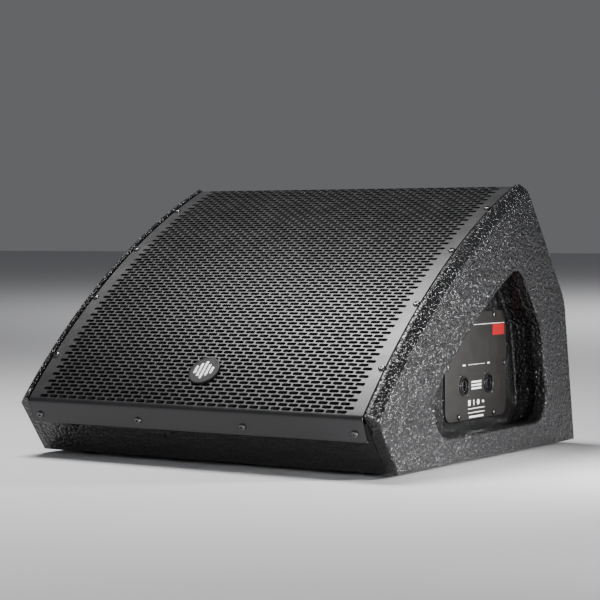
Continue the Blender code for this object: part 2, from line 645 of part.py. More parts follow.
# ---- Coaxial driver: moving pieces --------------------------------------------------------
cone_profile = [
    (0.0372, -0.0560), (0.0720, -0.0330), (0.1060, -0.0110), (0.1180, -0.0030), (0.1240, -0.0003),
    (0.1240, -0.0012), (0.1185, -0.0045), (0.1065, -0.0130), (0.0725, -0.0350), (0.0390, -0.0572),
    (0.0372, -0.0572)]
turned("woofer_cone", cone_profile, CONE_PAPER, RINGS, driver_axis, closed=True)
coil_profile = [(0.0372, -0.0575), (0.0390, -0.0575), (0.0390, -0.1040), (0.0372, -0.1040)]
turned("voice_coil", coil_profile, COIL_COPPER, RINGS, driver_axis, closed=True)

dome_run = [(0, 0.0080), (0.0080, 0.0070), (0.0160, 0.0042), (0.0220, 0.0002), (0.0280, 0.0)]
dome = [(r, z - 0.1515) for r, z in dome_run]
turned("hf_diaphragm", dome + [(r, z - 0.0006) for r, z in reversed(dome)], TITANIUM, SMALL_RINGS, driver_axis)


# ---- Ports, crossover, leads, wadding -----------------------------------------------------
port_profile = [
    (PORT_R + 0.004, 0.0020 + GAP), (PORT_R + 0.004, GAP), (PORT_R, GAP), (PORT_R, -PORT_LENGTH),
    (PORT_R - 0.0025, -PORT_LENGTH), (PORT_R - 0.0025, 0.0020 + GAP)]
for name, place in zip(("port_tube_left", "port_tube_right"), PORT_PLACES):
    turned(name, port_profile, PORT_PLASTIC, SMALL_RINGS, front_frame, place, closed=True)

BOARD_MIDDLE = Vector((0.0, 0.170))
BOARD_SIZE = Vector((0.170, 0.090))
BOARD_TOP = deck + 0.0065


def box(name, middle, size, material):
    """A plain block, with its own bevelled edges."""
    shape = bmesh.new()
    bmesh.ops.create_cube(shape, size=1.0, matrix=Matrix.Diagonal((*size, 1)))
    mesh = bpy.data.meshes.new(name)
    shape.to_mesh(mesh)
    shape.free()
    return node(name, mesh, material, None, Matrix.Translation(middle))


box("crossover_board", (*BOARD_MIDDLE, deck + GAP + 0.0030), (*BOARD_SIZE, 0.0060), BOARD_GREEN)


def standing(x, y, height):
    """A place on the crossover board, lifted by a height."""
    return Matrix.Translation((BOARD_MIDDLE.x + x, BOARD_MIDDLE.y + y, BOARD_TOP + height))


coil_ring = [(0.0110, 0.0240), (0.0230, 0.0240), (0.0230, 0.0), (0.0110, 0.0)]
for name, x in (("inductor_woofer", -0.055), ("inductor_horn", 0.0)):
    turned(name, coil_ring, COIL_COPPER, SMALL_RINGS, place=standing(x, -0.010, 0.0003), closed=True)
capacitor_can = [(0, 0.0200), (0.0090, 0.0200), (0.0090, -0.0200), (0, -0.0200)]
lying = Matrix.Rotation(pi / 2, 4, "X")
for name, x in (("capacitor_woofer", 0.040), ("capacitor_horn", 0.065)):
    turned(name, capacitor_can, CAPACITOR_FILM, SMALL_RINGS, place=standing(x, 0.0, 0.0094) @ lying)

wadding_low = KINK + REAR_IN * (BOARD_INSET + PLY + 0.001)
board("wadding", [
    along_line(wadding_low, REAR_IN, 0.045), along_line(wadding_low, REAR_IN, 0.165),
    along_line(wadding_low + REAR_IN * 0.02, REAR_IN, 0.165),
    along_line(wadding_low + REAR_IN * 0.02, REAR_IN, 0.045)], WADDING, -0.180, 0.180)

LEAD_R = 0.0025


def lead(name, route, segments=4):
    """A clipped lead through its route's points, on a smooth curve."""
    points = [Vector(p) for p in route]
    ends = [2 * points[0] - points[1]] + points + [2 * points[-1] - points[-2]]
    smooth = []
    for a, b, c, d in zip(ends, ends[1:], ends[2:], ends[3:]):
        for i in range(segments):
            t = i / segments
            smooth.append(0.5 * (2 * b + (c - a) * t + (2 * a - 5 * b + 4 * c - d) * t ** 2
                                 + (3 * b - a - 3 * c + d) * t ** 3))
    smooth.append(points[-1])
    curve = bpy.data.curves.new(name, "CURVE")
    curve.dimensions = "3D"
    curve.bevel_depth = LEAD_R
    curve.bevel_resolution = 2
    curve.use_fill_caps = True
    spline = curve.splines.new("POLY")
    spline.points.add(len(smooth) - 1)
    for point, co in zip(spline.points, smooth):
        point.co = (*co, 1.0)
    curve.materials.append(CABLE_PVC)
    wedge.objects.link(bpy.data.objects.new(name, curve))


socket_back = PLATE_FACE - 0.0225
socket_y = PLATE_MIDDLE.x + SOCKET_SPACING / 2
pad = BOARD_TOP + 0.0004
lead("input_lead", [
    (0.078, 0.150, pad), (0.078, 0.150, pad + 0.012), (0.095, 0.140, 0.055), (0.130, 0.115, 0.075),
    (0.160, socket_y + 0.004, SOCKET_Z - 0.001), (socket_back, socket_y, SOCKET_Z)])
lead("woofer_lead", [
    (-0.070, 0.193, pad), (-0.070, 0.193, pad + 0.012), (-0.062, 0.190, 0.080), (-0.040, 0.168, 0.145),
    (-0.014, *front(0.150, -0.060)), (-0.010, *front(0.1265, -0.058))])
lead("hf_lead", [
    (0.022, 0.135, pad), (0.022, 0.135, pad + 0.012), (0.019, 0.1180, 0.0700),
    (0.012, *front(0.072, -0.158)), (0.010, *front(0.0540, -0.158))])
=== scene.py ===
"""Looks of a passive stage monitor wedge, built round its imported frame.

Metres, +Z up, +X to the right seen from the front, +Y to the back, origin on the floor.
"""
from math import asin, atan2, cos, pi, radians, sin, sqrt, tau

import bmesh
import bpy
from mathutils import Matrix, Vector, noise


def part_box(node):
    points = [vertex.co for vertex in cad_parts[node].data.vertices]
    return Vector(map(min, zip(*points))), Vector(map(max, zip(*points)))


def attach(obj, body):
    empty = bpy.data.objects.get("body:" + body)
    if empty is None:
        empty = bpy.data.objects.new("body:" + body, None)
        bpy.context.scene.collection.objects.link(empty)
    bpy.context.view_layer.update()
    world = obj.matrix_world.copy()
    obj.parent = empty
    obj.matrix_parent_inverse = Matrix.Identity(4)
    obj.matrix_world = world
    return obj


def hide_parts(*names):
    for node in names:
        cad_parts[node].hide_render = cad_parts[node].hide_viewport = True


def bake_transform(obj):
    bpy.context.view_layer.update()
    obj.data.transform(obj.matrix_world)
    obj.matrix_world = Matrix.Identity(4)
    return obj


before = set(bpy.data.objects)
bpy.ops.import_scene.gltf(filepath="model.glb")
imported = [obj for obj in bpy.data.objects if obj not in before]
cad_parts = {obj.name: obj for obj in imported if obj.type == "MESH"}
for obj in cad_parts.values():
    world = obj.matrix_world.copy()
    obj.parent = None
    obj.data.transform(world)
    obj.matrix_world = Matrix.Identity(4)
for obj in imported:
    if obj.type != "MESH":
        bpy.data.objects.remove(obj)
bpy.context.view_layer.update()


# ---- Studio -------------------------------------------------------------------------------
# A seamless flat pale paper floor under the cabinet, and the camera low on its front right.
def add_object(name, data):
    """A new object in the scene, at the origin."""
    added = bpy.data.objects.new(name, data)
    bpy.context.scene.collection.objects.link(added)
    return added


camera_data = bpy.data.cameras.new("camera")
camera_data.lens = 117.1
camera_data.sensor_width = 36.0
camera_data.clip_end = 50.0
camera = add_object("camera", camera_data)
camera.location = (1.303, -2.040, 0.262)
camera.rotation_euler = (radians(88.2), 0.0, radians(32.71))
bpy.context.scene.camera = camera

paper = bpy.data.materials.new("studio_paper")
paper.use_nodes = True
paper_shader = paper.node_tree.nodes["Principled BSDF"]
paper_shader.inputs["Base Color"].default_value = (0.62, 0.62, 0.63, 1.0)
paper_shader.inputs["Roughness"].default_value = 0.85
paper_shader.inputs["Specular IOR Level"].default_value = 0.2
floor_mesh = bpy.data.meshes.new("studio_floor")
floor_mesh.from_pydata([(-30, -30, 0), (30, -30, 0), (30, 30, 0), (-30, 30, 0)], [], [(0, 1, 2, 3)])
floor_mesh.materials.append(paper)
studio_floor = add_object("studio_floor", floor_mesh)

world = bpy.data.worlds.new("studio_air")
world.use_nodes = True
world.node_tree.nodes["Background"].inputs["Color"].default_value = (0.86, 0.88, 0.92, 1.0)
world.node_tree.nodes["Background"].inputs["Strength"].default_value = 0.15
bpy.context.scene.world = world


def softbox(name, place, aim, width, height, power, spread=180):
    """A rectangular soft light at a place, turned to face a point, its beam cut by a grid."""
    light = bpy.data.lights.new(name, "AREA")
    light.shape = "RECTANGLE"
    light.size = width
    light.size_y = height
    light.energy = power
    light.spread = radians(spread)
    holder = add_object(name, light)
    holder.location = place
    holder.rotation_euler = (Vector(aim) - Vector(place)).to_track_quat("-Z", "Y").to_euler()


softbox("key_overhead", (-0.45, -0.15, 1.75), (0.10, -0.05, 0.15), 0.75, 0.9, 54)
softbox("side_close", (0.80, 0.16, 0.20), (0.25, -0.14, 0.08), 0.10, 0.10, 2.5, spread=80)
softbox("side_front", (1.70, -0.85, 0.26), (0.25, 0.0, 0.12), 0.10, 0.40, 3.5, spread=60)
softbox("paper_wash", (0.0, 3.4, 3.0), (0.0, 6.5, 0.0), 4.0, 1.2, 190)


# ---- Side panels --------------------------------------------------------------------------
# Two 15 mm birch plywood sides, routed to shape, with a broad chamfer along the curved front
# and a rounded handle opening. They are sprayed with a coarse, hard, black texture paint.
WIDTH = 0.500
PLY = 0.015
GAP = 0.0003
INNER = WIDTH / 2 - PLY
BOARD_HALF = INNER - GAP
TOE = Vector((-0.2030, 0.005))
HEEL = Vector((0.2515, 0.005))
KINK = Vector((0.2208, 0.1848))
KINK_RADIUS = 0.060
FRONT_MIDDLE = Vector((-0.0709, 0.1980))
FRONT_TILT = radians(35.5)
FRONT_CHORD = 0.4433
FRONT_RISE = 0.0258
ARC_R = (FRONT_CHORD ** 2 / 4 + FRONT_RISE ** 2) / (2 * FRONT_RISE)
ARC_DROP = ARC_R - FRONT_RISE
PANEL_PROUD = 0.0015
CHAMFER = 0.0095
CHAMFER_EASE = 0.0009
EDGE_ROUND = 0.0022
OPENING_ROUND = 0.0032
OPENING_INSETS = {"front": 0.082, "slope": 0.074, "rear": 0.072, "base": 0.031}
OPENING_RADII = {"toe": 0.035, "top": 0.028, "heel": 0.032}
HAND_HOLD_STEPS = 12


def front(along, out):
    """A (Y, Z) point from its place up the sloping front, and out of it."""
    c, s = cos(FRONT_TILT), sin(FRONT_TILT)
    return FRONT_MIDDLE + Vector((along * c - out * s, along * s + out * c))


ARC_CENTRE = front(0.0, -ARC_DROP)
TOP = front(0.2227, 0.0018)
CHIN = front(-0.2200, -0.0059)


def inward(start, end):
    """Unit normal of a panel edge, into the panel; edges run toe, heel, kink, top."""
    run = (end - start).normalized()
    return Vector((-run.y, run.x))


SLOPE_IN = inward(KINK, TOP)
REAR_IN = inward(HEEL, KINK)
CHIN_IN = inward(CHIN, TOE)
UP = Vector((0.0, 1.0))


def line_meets_line(p, p_normal, q, q_normal):
    """Where two lines meet, each given by a point and its unit normal."""
    return Matrix((p_normal, q_normal)).inverted() @ Vector((p.dot(p_normal), q.dot(q_normal)))


def line_meets_arc(p, normal, radius, forward):
    """Where a line meets a circle about the front's centre, on its front or its rear side."""
    run = Vector((-normal.y, normal.x))
    offset = p - ARC_CENTRE
    half = offset.dot(run)
    root = sqrt(half ** 2 - offset.length_squared + radius ** 2)
    hits = [p + run * (-half + sign * root) for sign in (-1, 1)]
    return min(hits, key=lambda hit: hit.x) if forward else max(hits, key=lambda hit: hit.y)


def arc(centre, start, end, steps):
    """Points on the short way round a centre, from start to end."""
    a, b = start - centre, end - centre
    angle = atan2(a.x * b.y - a.y * b.x, a.dot(b))
    return [centre + Matrix.Rotation(angle * i / steps, 2) @ a for i in range(steps + 1)]


def kink_arc(inset, steps):
    """The rounded bend between the rear and the slope, inset from the outside."""
    corner = line_meets_line(KINK + REAR_IN * KINK_RADIUS, REAR_IN,
                             KINK + SLOPE_IN * KINK_RADIUS, SLOPE_IN)
    reach = KINK_RADIUS - inset
    return arc(corner, corner - REAR_IN * reach, corner - SLOPE_IN * reach, steps)


def opening_outline(grow):
    """The handle opening, a rounded triangle, grown outwards by an amount."""
    radius = ARC_R - OPENING_INSETS["front"] + grow
    slope = KINK + SLOPE_IN * (OPENING_INSETS["slope"] - grow)
    rear = KINK + REAR_IN * (OPENING_INSETS["rear"] - grow)
    base = TOE + UP * (OPENING_INSETS["base"] - grow)

    def beside_arc(point, normal, bend, forward):
        centre = line_meets_arc(point + normal * bend, normal, radius - bend, forward)
        on_arc = ARC_CENTRE + (centre - ARC_CENTRE).normalized() * radius
        return centre, on_arc, centre - normal * bend

    toe, toe_arc, toe_base = beside_arc(base, UP, OPENING_RADII["toe"] + grow, True)
    top, top_arc, top_slope = beside_arc(slope, SLOPE_IN, OPENING_RADII["top"] + grow, False)
    bend = OPENING_RADII["heel"] + grow
    heel = line_meets_line(base + UP * bend, UP, rear + REAR_IN * bend, REAR_IN)
    kink_bend = KINK_RADIUS - OPENING_INSETS["rear"] / 2 + grow
    kink = line_meets_line(slope + SLOPE_IN * kink_bend, SLOPE_IN, rear + REAR_IN * kink_bend, REAR_IN)
    return (arc(heel, heel - UP * bend, heel - REAR_IN * bend, HAND_HOLD_STEPS)
            + arc(kink, kink - REAR_IN * kink_bend, kink - SLOPE_IN * kink_bend, 8)
            + arc(top, top_slope, top_arc, HAND_HOLD_STEPS)
            + arc(ARC_CENTRE, top_arc, toe_arc, 30)[1:-1]
            + arc(toe, toe_arc, toe_base, HAND_HOLD_STEPS))


def inset_loop(points, insets):
    """A closed outline moved inwards, by a distance of its own for each edge."""
    count = len(points)
    normals = [inward(points[i], points[(i + 1) % count]) for i in range(count)]
    moved = []
    for i, point in enumerate(points):
        before, after = normals[i - 1], normals[i]
        if abs(insets[i - 1] - insets[i]) < 1e-9:
            moved.append(point + (before + after) * (insets[i] / (1 + before.dot(after))))
        else:
            moved.append(point + line_meets_line(before * insets[i - 1], before,
                                                 after * insets[i], after))
    return moved


def quarter_round(radius, steps):
    """(inset, depth) steps over a rounded edge, from the wall to the face."""
    turns = [pi / 2 * i / steps for i in range(steps + 1)]
    return [(radius * (1 - cos(a)), radius * (1 - sin(a))) for a in turns]


def smoothed(mesh, sharp=35.0):
    """Smooth shading that stays crisp over edges sharper than an angle."""
    mesh.polygons.foreach_set("use_smooth", [True] * len(mesh.polygons))
    mesh.set_sharp_from_angle(angle=radians(sharp))
    return mesh


def built(shape, name):
    """The mesh of a finished edit shape, which is freed."""
    mesh = bpy.data.meshes.new(name)
    shape.to_mesh(mesh)
    shape.free()
    return mesh


def end_caps(runs):
    """Caps over both ends of every run of loops."""
    return [(run[0],) for run in runs] + [(run[-1],) for run in runs]


def skin(name, runs, caps, outward=True):
    """A closed mesh: runs of loops joined ring by ring, and caps that fill what loops bound."""
    shape = bmesh.new()
    corners = {}

    def corner(point):
        key = tuple(round(c * 2e6) for c in point)
        if key not in corners:
            corners[key] = shape.verts.new(point)
        return corners[key]

    def around(loop):
        ring = [corner(p) for p in loop]
        return [(a, b) for a, b in zip(ring, ring[1:] + ring[:1])]

    for run in runs:
        for low, high in zip(run, run[1:]):
            for (a, b), (d, c) in zip(around(low), around(high)):
                face = list(dict.fromkeys((a, b, c, d)))
                if len(face) > 2 and not shape.faces.get(face):
                    shape.faces.new(face)
    for loops in caps:
        rims = []
        for loop in loops:
            for a, b in around(loop):
                if a is not b:
                    rims.append(shape.edges.get((a, b)) or shape.edges.new((a, b)))
        bmesh.ops.triangle_fill(shape, edges=rims, use_beauty=True)
    if outward:
        bmesh.ops.recalc_face_normals(shape, faces=shape.faces)
    return smoothed(built(shape, name))


def fit_piece(name, mesh, material, replaced=(), body="cabinet", even=True):
    """Puts a finished mesh in the scene, on its body, in place of its CAD nodes."""
    piece = add_object(name, mesh)
    mesh.materials.clear()
    mesh.materials.append(material)
    if even:
        piece.modifiers.new("even_shading", "WEIGHTED_NORMAL").keep_sharp = True
    if body:
        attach(piece, body)
    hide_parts(*replaced)
    return piece


def wired(tree, kind, inputs=None, **settings):
    """A new node of a tree; each input is given a value, or another node's output."""
    node = tree.nodes.new(kind)
    for setting, value in settings.items():
        setattr(node, setting, value)
    for socket, value in (inputs or {}).items():
        if isinstance(value, bpy.types.NodeSocket):
            tree.links.new(value, node.inputs[socket])
        else:
            node.inputs[socket].default_value = value
    return node


def dress(material, *names):
    """Gives CAD nodes a material."""
    for name in names:
        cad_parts[name].material_slots[0].material = material


def finish(name, colours, patch, gloss, grain, depth, metallic=0.0, specular=0.5):
    """A sprayed or moulded finish: two close colours, uneven gloss and a fine grain."""
    material = bpy.data.materials.new(name)
    material.use_nodes = True
    tree = material.node_tree
    shader = tree.nodes["Principled BSDF"]
    shader.inputs["Metallic"].default_value = metallic
    shader.inputs["Specular IOR Level"].default_value = specular
    place = wired(tree, "ShaderNodeTexCoord").outputs["Object"]
    patches = wired(tree, "ShaderNodeTexNoise", {"Vector": place, "Scale": patch, "Detail": 3.0})
    blotches = patches.outputs["Fac"]
    tone = wired(tree, "ShaderNodeMix", {"Factor": blotches, "A": (*colours[0], 1.0),
                                         "B": (*colours[1], 1.0)}, data_type="RGBA")
    sheen = wired(tree, "ShaderNodeMapRange", {"Value": blotches, "From Min": 0.3, "From Max": 0.7,
                                               "To Min": gloss[0], "To Max": gloss[1]})
    grains = wired(tree, "ShaderNodeTexNoise", {"Vector": place, "Scale": grain, "Detail": 2.0})
    relief = wired(tree, "ShaderNodeBump", {"Distance": depth, "Height": grains.outputs["Fac"]},
                   name="relief")
    tree.links.new(tone.outputs["Result"], shader.inputs["Base Color"])
    tree.links.new(sheen.outputs["Result"], shader.inputs["Roughness"])
    tree.links.new(relief.outputs["Normal"], shader.inputs["Normal"])
    return material


def texture_paint():
    """Hard black texture paint: rounded lumps of 1 to 2.5 mm with pits between them."""
    material = finish("texture_paint", ((0.005, 0.005, 0.0055), (0.009, 0.009, 0.0095)), 60.0,
                      (0.13, 0.22), 1500.0, 0.00006)
    tree = material.node_tree
    lumps = wired(tree, "ShaderNodeTexNoise", {
        "Vector": tree.nodes["Texture Coordinate"].outputs["Object"], "Scale": 250.0, "Detail": 1.5,
        "Roughness": 0.55, "Distortion": 0.4})
    crowns = wired(tree, "ShaderNodeMapRange", {"Value": lumps.outputs["Fac"], "From Min": 0.38,
                                                "From Max": 0.62}, interpolation_type="SMOOTHSTEP")
    lumpy = wired(tree, "ShaderNodeBump", {"Distance": 0.0011, "Height": crowns.outputs["Result"]})
    tree.links.new(lumpy.outputs["Normal"], tree.nodes["relief"].inputs["Normal"])
    return material


PAINT = texture_paint()


def panel_mesh(name, side):
    """One side: a rounded rim all round, a chamfer along the curve, and a hand-hold."""
    radius = ARC_R + PANEL_PROUD
    top = line_meets_arc(TOP, SLOPE_IN, radius, False)
    chin = line_meets_arc(CHIN, CHIN_IN, radius, True)
    reach = CHAMFER + CHAMFER_EASE
    curved = arc(ARC_CENTRE, top, chin, 60)
    plain = [TOE, HEEL] + kink_arc(0.0, 14)
    before_top = top + (plain[-1] - top).normalized() * reach
    after_chin = chin + (TOE - chin).normalized() * reach
    outline = plain + [before_top] + curved + [after_chin]
    first = len(plain) + 1
    last = first + len(curved) - 1
    ease = CHAMFER_EASE
    plain_steps = [(0.0008, PLY), (0.0, PLY - 0.0008)] + quarter_round(EDGE_ROUND, 5)
    curved_steps = plain_steps[:2] + [
        (0.0, CHAMFER + ease), (ease * 0.2, CHAMFER + ease * 0.2), (ease * 0.8, CHAMFER - ease * 0.8),
        (CHAMFER - ease * 0.8, ease * 0.8), (CHAMFER + ease * 0.2, ease * 0.2), (CHAMFER + ease, 0.0)]
    rim = []
    for (inset, depth), (curved_inset, curved_depth) in zip(plain_steps, curved_steps):
        on_curve = [first <= i < last for i in range(len(outline))]
        loop = inset_loop(outline, [curved_inset if c else inset for c in on_curve])
        depths = [curved_depth if first <= i <= last else depth for i in range(len(outline))]
        rim.append([(side * (WIDTH / 2 - d), p.x, p.y) for p, d in zip(loop, depths)])
    opening = [[(side * INNER, p.x, p.y) for p in opening_outline(0.0)]]
    for inset, depth in quarter_round(OPENING_ROUND, 6):
        opening.append([(side * (WIDTH / 2 - depth), p.x, p.y) for p in opening_outline(inset)])
    return skin(name, [rim, opening], [(rim[0], opening[0]), (rim[-1], opening[-1])])


for name, side in (("side_panel_left", -1), ("side_panel_right", 1)):
    fit_piece(name + "_painted", panel_mesh(name, side), PAINT, [name])


# ---- Handle wells -------------------------------------------------------------------------
# A plywood box glued behind each opening, a little wider than it, so that fingers can curl
# behind the rim. The right one also carries the connector plate on its floor.
WELL_DEPTH = 0.048
WELL_FLOOR = 0.009
WELL_WALL = 0.005
WELL_UNDERCUT = 0.010
WELL_FILLET = 0.004


def well_mesh(name, side):
    """The open box, with a rounded corner between its wall and its floor."""
    floor_at = WIDTH / 2 - WELL_DEPTH
    steps = [(WELL_UNDERCUT + WELL_WALL, floor_at - WELL_FLOOR), (WELL_UNDERCUT + WELL_WALL, BOARD_HALF),
             (WELL_UNDERCUT, BOARD_HALF)]
    steps += [(WELL_UNDERCUT - inset, floor_at + depth) for inset, depth in quarter_round(WELL_FILLET, 5)]
    loops = [[(side * x, p.x, p.y) for p in opening_outline(grow)] for grow, x in steps]
    return skin(name, [loops], end_caps([loops]))


for name, side in (("handle_well_left", -1), ("handle_well_right", 1)):
    fit_piece(name + "_painted", well_mesh(name, side), PAINT, [name])


# ---- Cabinet boards -----------------------------------------------------------------------
# Bottom, chin, rear and rear slope are plywood too, housed between the sides and painted with
# them. The rear is sanded into one smooth bend where its two boards meet.
BOARD_INSET = 0.0032
BOARD_EASE = 0.0006
deck = TOE.y + PLY


def along_line(point, normal, height):
    """The point of a line at a given Z."""
    run = Vector((-normal.y, normal.x))
    return point + run * ((height - point.y) / run.y)


def board_mesh(name, outline):
    """An outline in (Y, Z) run across the cabinet, its two ends eased."""
    stations = [(-BOARD_HALF, BOARD_EASE), (BOARD_EASE - BOARD_HALF, 0.0),
                (BOARD_HALF - BOARD_EASE, 0.0), (BOARD_HALF, BOARD_EASE)]
    loops = []
    for x, inset in stations:
        loops.append([(x, p.x, p.y) for p in inset_loop(outline, [inset] * len(outline))])
    return skin(name, [loops], end_caps([loops]))


inside = BOARD_INSET + PLY
inner_bend = line_meets_line(KINK + REAR_IN * inside, REAR_IN, KINK + SLOPE_IN * inside, SLOPE_IN)
GRILLE_ROOM = 0.0015
UNDER_SHEET = ARC_R - GRILLE_ROOM - GAP
rear_outline = ([along_line(HEEL + REAR_IN * inside, REAR_IN, deck + GAP),
                 along_line(HEEL + REAR_IN * BOARD_INSET, REAR_IN, deck + GAP)]
                + kink_arc(BOARD_INSET, 14)
                + [line_meets_arc(TOP + SLOPE_IN * BOARD_INSET, SLOPE_IN, UNDER_SHEET, False),
                   line_meets_arc(TOP + SLOPE_IN * inside, SLOPE_IN, UNDER_SHEET, False), inner_bend])
fit_piece("rear_boards_painted", board_mesh("rear_boards", rear_outline), PAINT,
          ["rear_panel", "rear_slope_panel"])
dress(PAINT, "bottom_panel", "chin_panel")


# ---- Feet ---------------------------------------------------------------------------------
# Four moulded rubber discs under the bottom board, each with a rounded edge, a moulded ring
# and a countersunk hollow in its middle.
RUBBER = finish("foot_rubber", ((0.012, 0.012, 0.012), (0.022, 0.022, 0.021)), 140.0, (0.62, 0.80),
                1500.0, 0.00008)


def turned(rings, sides, place=Matrix(), shaped=(), swell=None):
    """Loops about a place's Z from (radius, height) rings; swell reshapes the rings it names."""
    loops = []
    for number, (radius, height) in enumerate(rings):
        loop = []
        for i in range(sides):
            angle = tau * i / sides
            reach = radius + (swell(angle) if number in shaped else 0.0)
            loop.append(tuple(place @ Vector((reach * cos(angle), reach * sin(angle), height))))
        loops.append(loop)
    return loops


def foot_mesh(name, middle):
    """A foot hung under the bottom board, its middle hollowed for the screw."""
    top = middle.z + 0.0024
    rings = [(0.0, top), (0.0150, top), (0.0150, 0.0020), (0.0146, 0.0008), (0.0136, 0.0),
             (0.0112, 0.0), (0.0106, 0.0007), (0.0098, 0.0007), (0.0092, 0.0), (0.0062, 0.0),
             (0.0055, 0.0010), (0.0040, 0.0022), (0.0, 0.0022)]
    place = Matrix.Translation((middle.x, middle.y, 0.0))
    return skin(name, [turned(rings, 40, place)], [])


for corner in ("front_left", "front_right", "rear_left", "rear_right"):
    low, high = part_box("foot_" + corner)
    fit_piece("foot_" + corner + "_rubber", foot_mesh("foot_" + corner, (low + high) / 2), RUBBER,
              ["foot_" + corner])


# ---- Baffle and rails ---------------------------------------------------------------------
# The baffle and the two shaped rails beside it are birch plywood, rolled black, and glued into
# the cabinet behind the grille.
BLACK_PLY = finish("rolled_black_ply", ((0.005, 0.005, 0.005), (0.012, 0.011, 0.010)), 25.0,
                   (0.70, 0.90), 300.0, 0.0002, specular=0.3)
dress(BLACK_PLY, "baffle", "grille_rail_left", "grille_rail_right")


# ---- Grille -------------------------------------------------------------------------------
# One sheet of 1.5 mm steel, punched with rows of staggered slots between plain borders, then
# folded over its lower lip, rolled to the curve and powder coated a satin black.
SHEET_T = 0.0012
SHEET_HALF = 0.2330
SHEET_EASE = 0.0005
LIP = 0.0295
LIP_LEAN = radians(13.5)
TOP_LIP = 0.012
FOLD_R = 0.0075
FOLD_HALF = 0.004
SLOT_LENGTH = 0.0126
SLOT_WIDTH = 0.0044
SLOT_PITCH = 0.01437
ROW_PITCH = 0.00557
SLOTS = 30
ROWS = 79
FIRST_ROW = 0.0070
HALF_ANGLE = asin(FRONT_CHORD / 2 / ARC_R)


def bulge(along):
    """How far the curved front stands out of its chord at a place along it."""
    return sqrt(ARC_R ** 2 - along ** 2) - ARC_DROP


def eased_corner(before, corner, after, radius, steps):
    """The round that a fold makes between two straight legs."""
    into, out = (before - corner).normalized(), (after - corner).normalized()
    half = into.angle(out) / 2
    reach = radius * cos(half) / sin(half)
    start, end = corner + into * reach, corner + out * reach
    centre = corner + (into + out).normalized() * (radius / sin(half))
    return arc(centre, start, end, steps)


def sheet_path():
    """Outer face of the folded sheet in (Y, Z), from the lower lip up and over the top."""
    half = FRONT_CHORD / 2
    fold, top_fold = front(-half, 0.0), front(half, 0.0)
    low_end = front(-half - LIP * sin(LIP_LEAN), -LIP * cos(LIP_LEAN))
    top_end = top_fold + (KINK - TOP).normalized() * TOP_LIP
    lower = eased_corner(low_end, fold, front(-half + 0.02, bulge(-half + 0.02)), FOLD_R, 8)
    upper = eased_corner(front(half - 0.02, bulge(half - 0.02)), top_fold, top_end, FOLD_R * 0.7, 8)
    turns = [HALF_ANGLE * (1 - 2 * i / 400) for i in range(401)]
    rolled = [front(-ARC_R * sin(a), ARC_R * cos(a) - ARC_DROP) for a in turns]
    rolled = [p for p in rolled if (p - lower[-1]).dot(lower[-1] - lower[-2]) > 0
              and (p - upper[0]).dot(upper[1] - upper[0]) < 0]
    path = [low_end.lerp(lower[0], i / 24) for i in range(24)] + lower + rolled + upper
    return path + [upper[-1].lerp(top_end, i / 8) for i in range(1, 9)]


path = sheet_path()
path_lengths = [0.0]
for a, b in zip(path, path[1:]):
    path_lengths.append(path_lengths[-1] + (b - a).length)
fold_at = min(range(len(path)), key=lambda i: (path[i] - front(-FRONT_CHORD / 2, 0.0)).length)
first_row_at = path_lengths[fold_at] + FIRST_ROW
field_from = first_row_at - ROW_PITCH / 2
field_to = field_from + ROWS * ROW_PITCH
field_half = (SLOTS + 0.5) * SLOT_PITCH / 2


def slot_cell():
    """The patch of sheet round one slot, with the slot's cut edge."""
    straight, round_r = (SLOT_LENGTH - SLOT_WIDTH) / 2, SLOT_WIDTH / 2
    slot = []
    for side, start in ((1, -pi / 2), (-1, pi / 2)):
        for i in range(7):
            angle = start + pi * i / 6
            slot.append((side * straight + round_r * cos(angle), round_r * sin(angle)))
    x, y = SLOT_PITCH / 2, ROW_PITCH / 2
    edge = [(-x, -y), (0, -y), (x, -y), (x, y), (0, y), (-x, y)]
    levels = [[(px, py, z) for px, py in slot] for z in (0.0, -SHEET_T)]
    rims = [[(px, py, z) for px, py in edge] for z in (0.0, -SHEET_T)]
    cell = skin("slot_cell", [levels], [(rims[0], levels[0]), (rims[1], levels[1])], outward=False)
    shape = bmesh.new()
    shape.from_mesh(cell)
    shape.normal_update()
    for face in shape.faces:
        middle = face.calc_center_median()
        if abs(face.normal.z) > 0.5:
            wrong = (face.normal.z > 0) != (middle.z > -SHEET_T / 2)
        else:
            wrong = face.normal.x * middle.x + face.normal.y * middle.y > 0
            if abs(middle.y) > round_r * 0.9 and abs(middle.x) < straight:
                wrong = face.normal.y * middle.y > 0
        if wrong:
            face.normal_flip()
    shape.to_mesh(cell)
    shape.free()
    return cell


def two_faced(name, faces, backs, missing=lambda i, j: False):
    """A thin body from two grids of corners, joined round their border, less its missing fields."""
    shape = bmesh.new()
    faces = [[shape.verts.new(point) for point in column] for column in faces]
    backs = [[shape.verts.new(point) for point in column] for column in backs]
    last_x, last_y = len(faces) - 1, len(faces[0]) - 1
    for i in range(last_x):
        for j in range(last_y):
            if not missing(i, j):
                shape.faces.new((faces[i][j], faces[i + 1][j], faces[i + 1][j + 1], faces[i][j + 1]))
                shape.faces.new((backs[i][j + 1], backs[i + 1][j + 1], backs[i + 1][j], backs[i][j]))
    border = [(i, 0) for i in range(last_x)] + [(last_x, j) for j in range(last_y)]
    border += [(i, last_y) for i in range(last_x, 0, -1)] + [(0, j) for j in range(last_y, 0, -1)]
    for (i, j), (k, m) in zip(border, border[1:] + border[:1]):
        shape.faces.new((backs[i][j], backs[k][m], faces[k][m], faces[i][j]))
    bmesh.ops.delete(shape, geom=[v for v in shape.verts if not v.link_faces], context="VERTS")
    return built(shape, name)


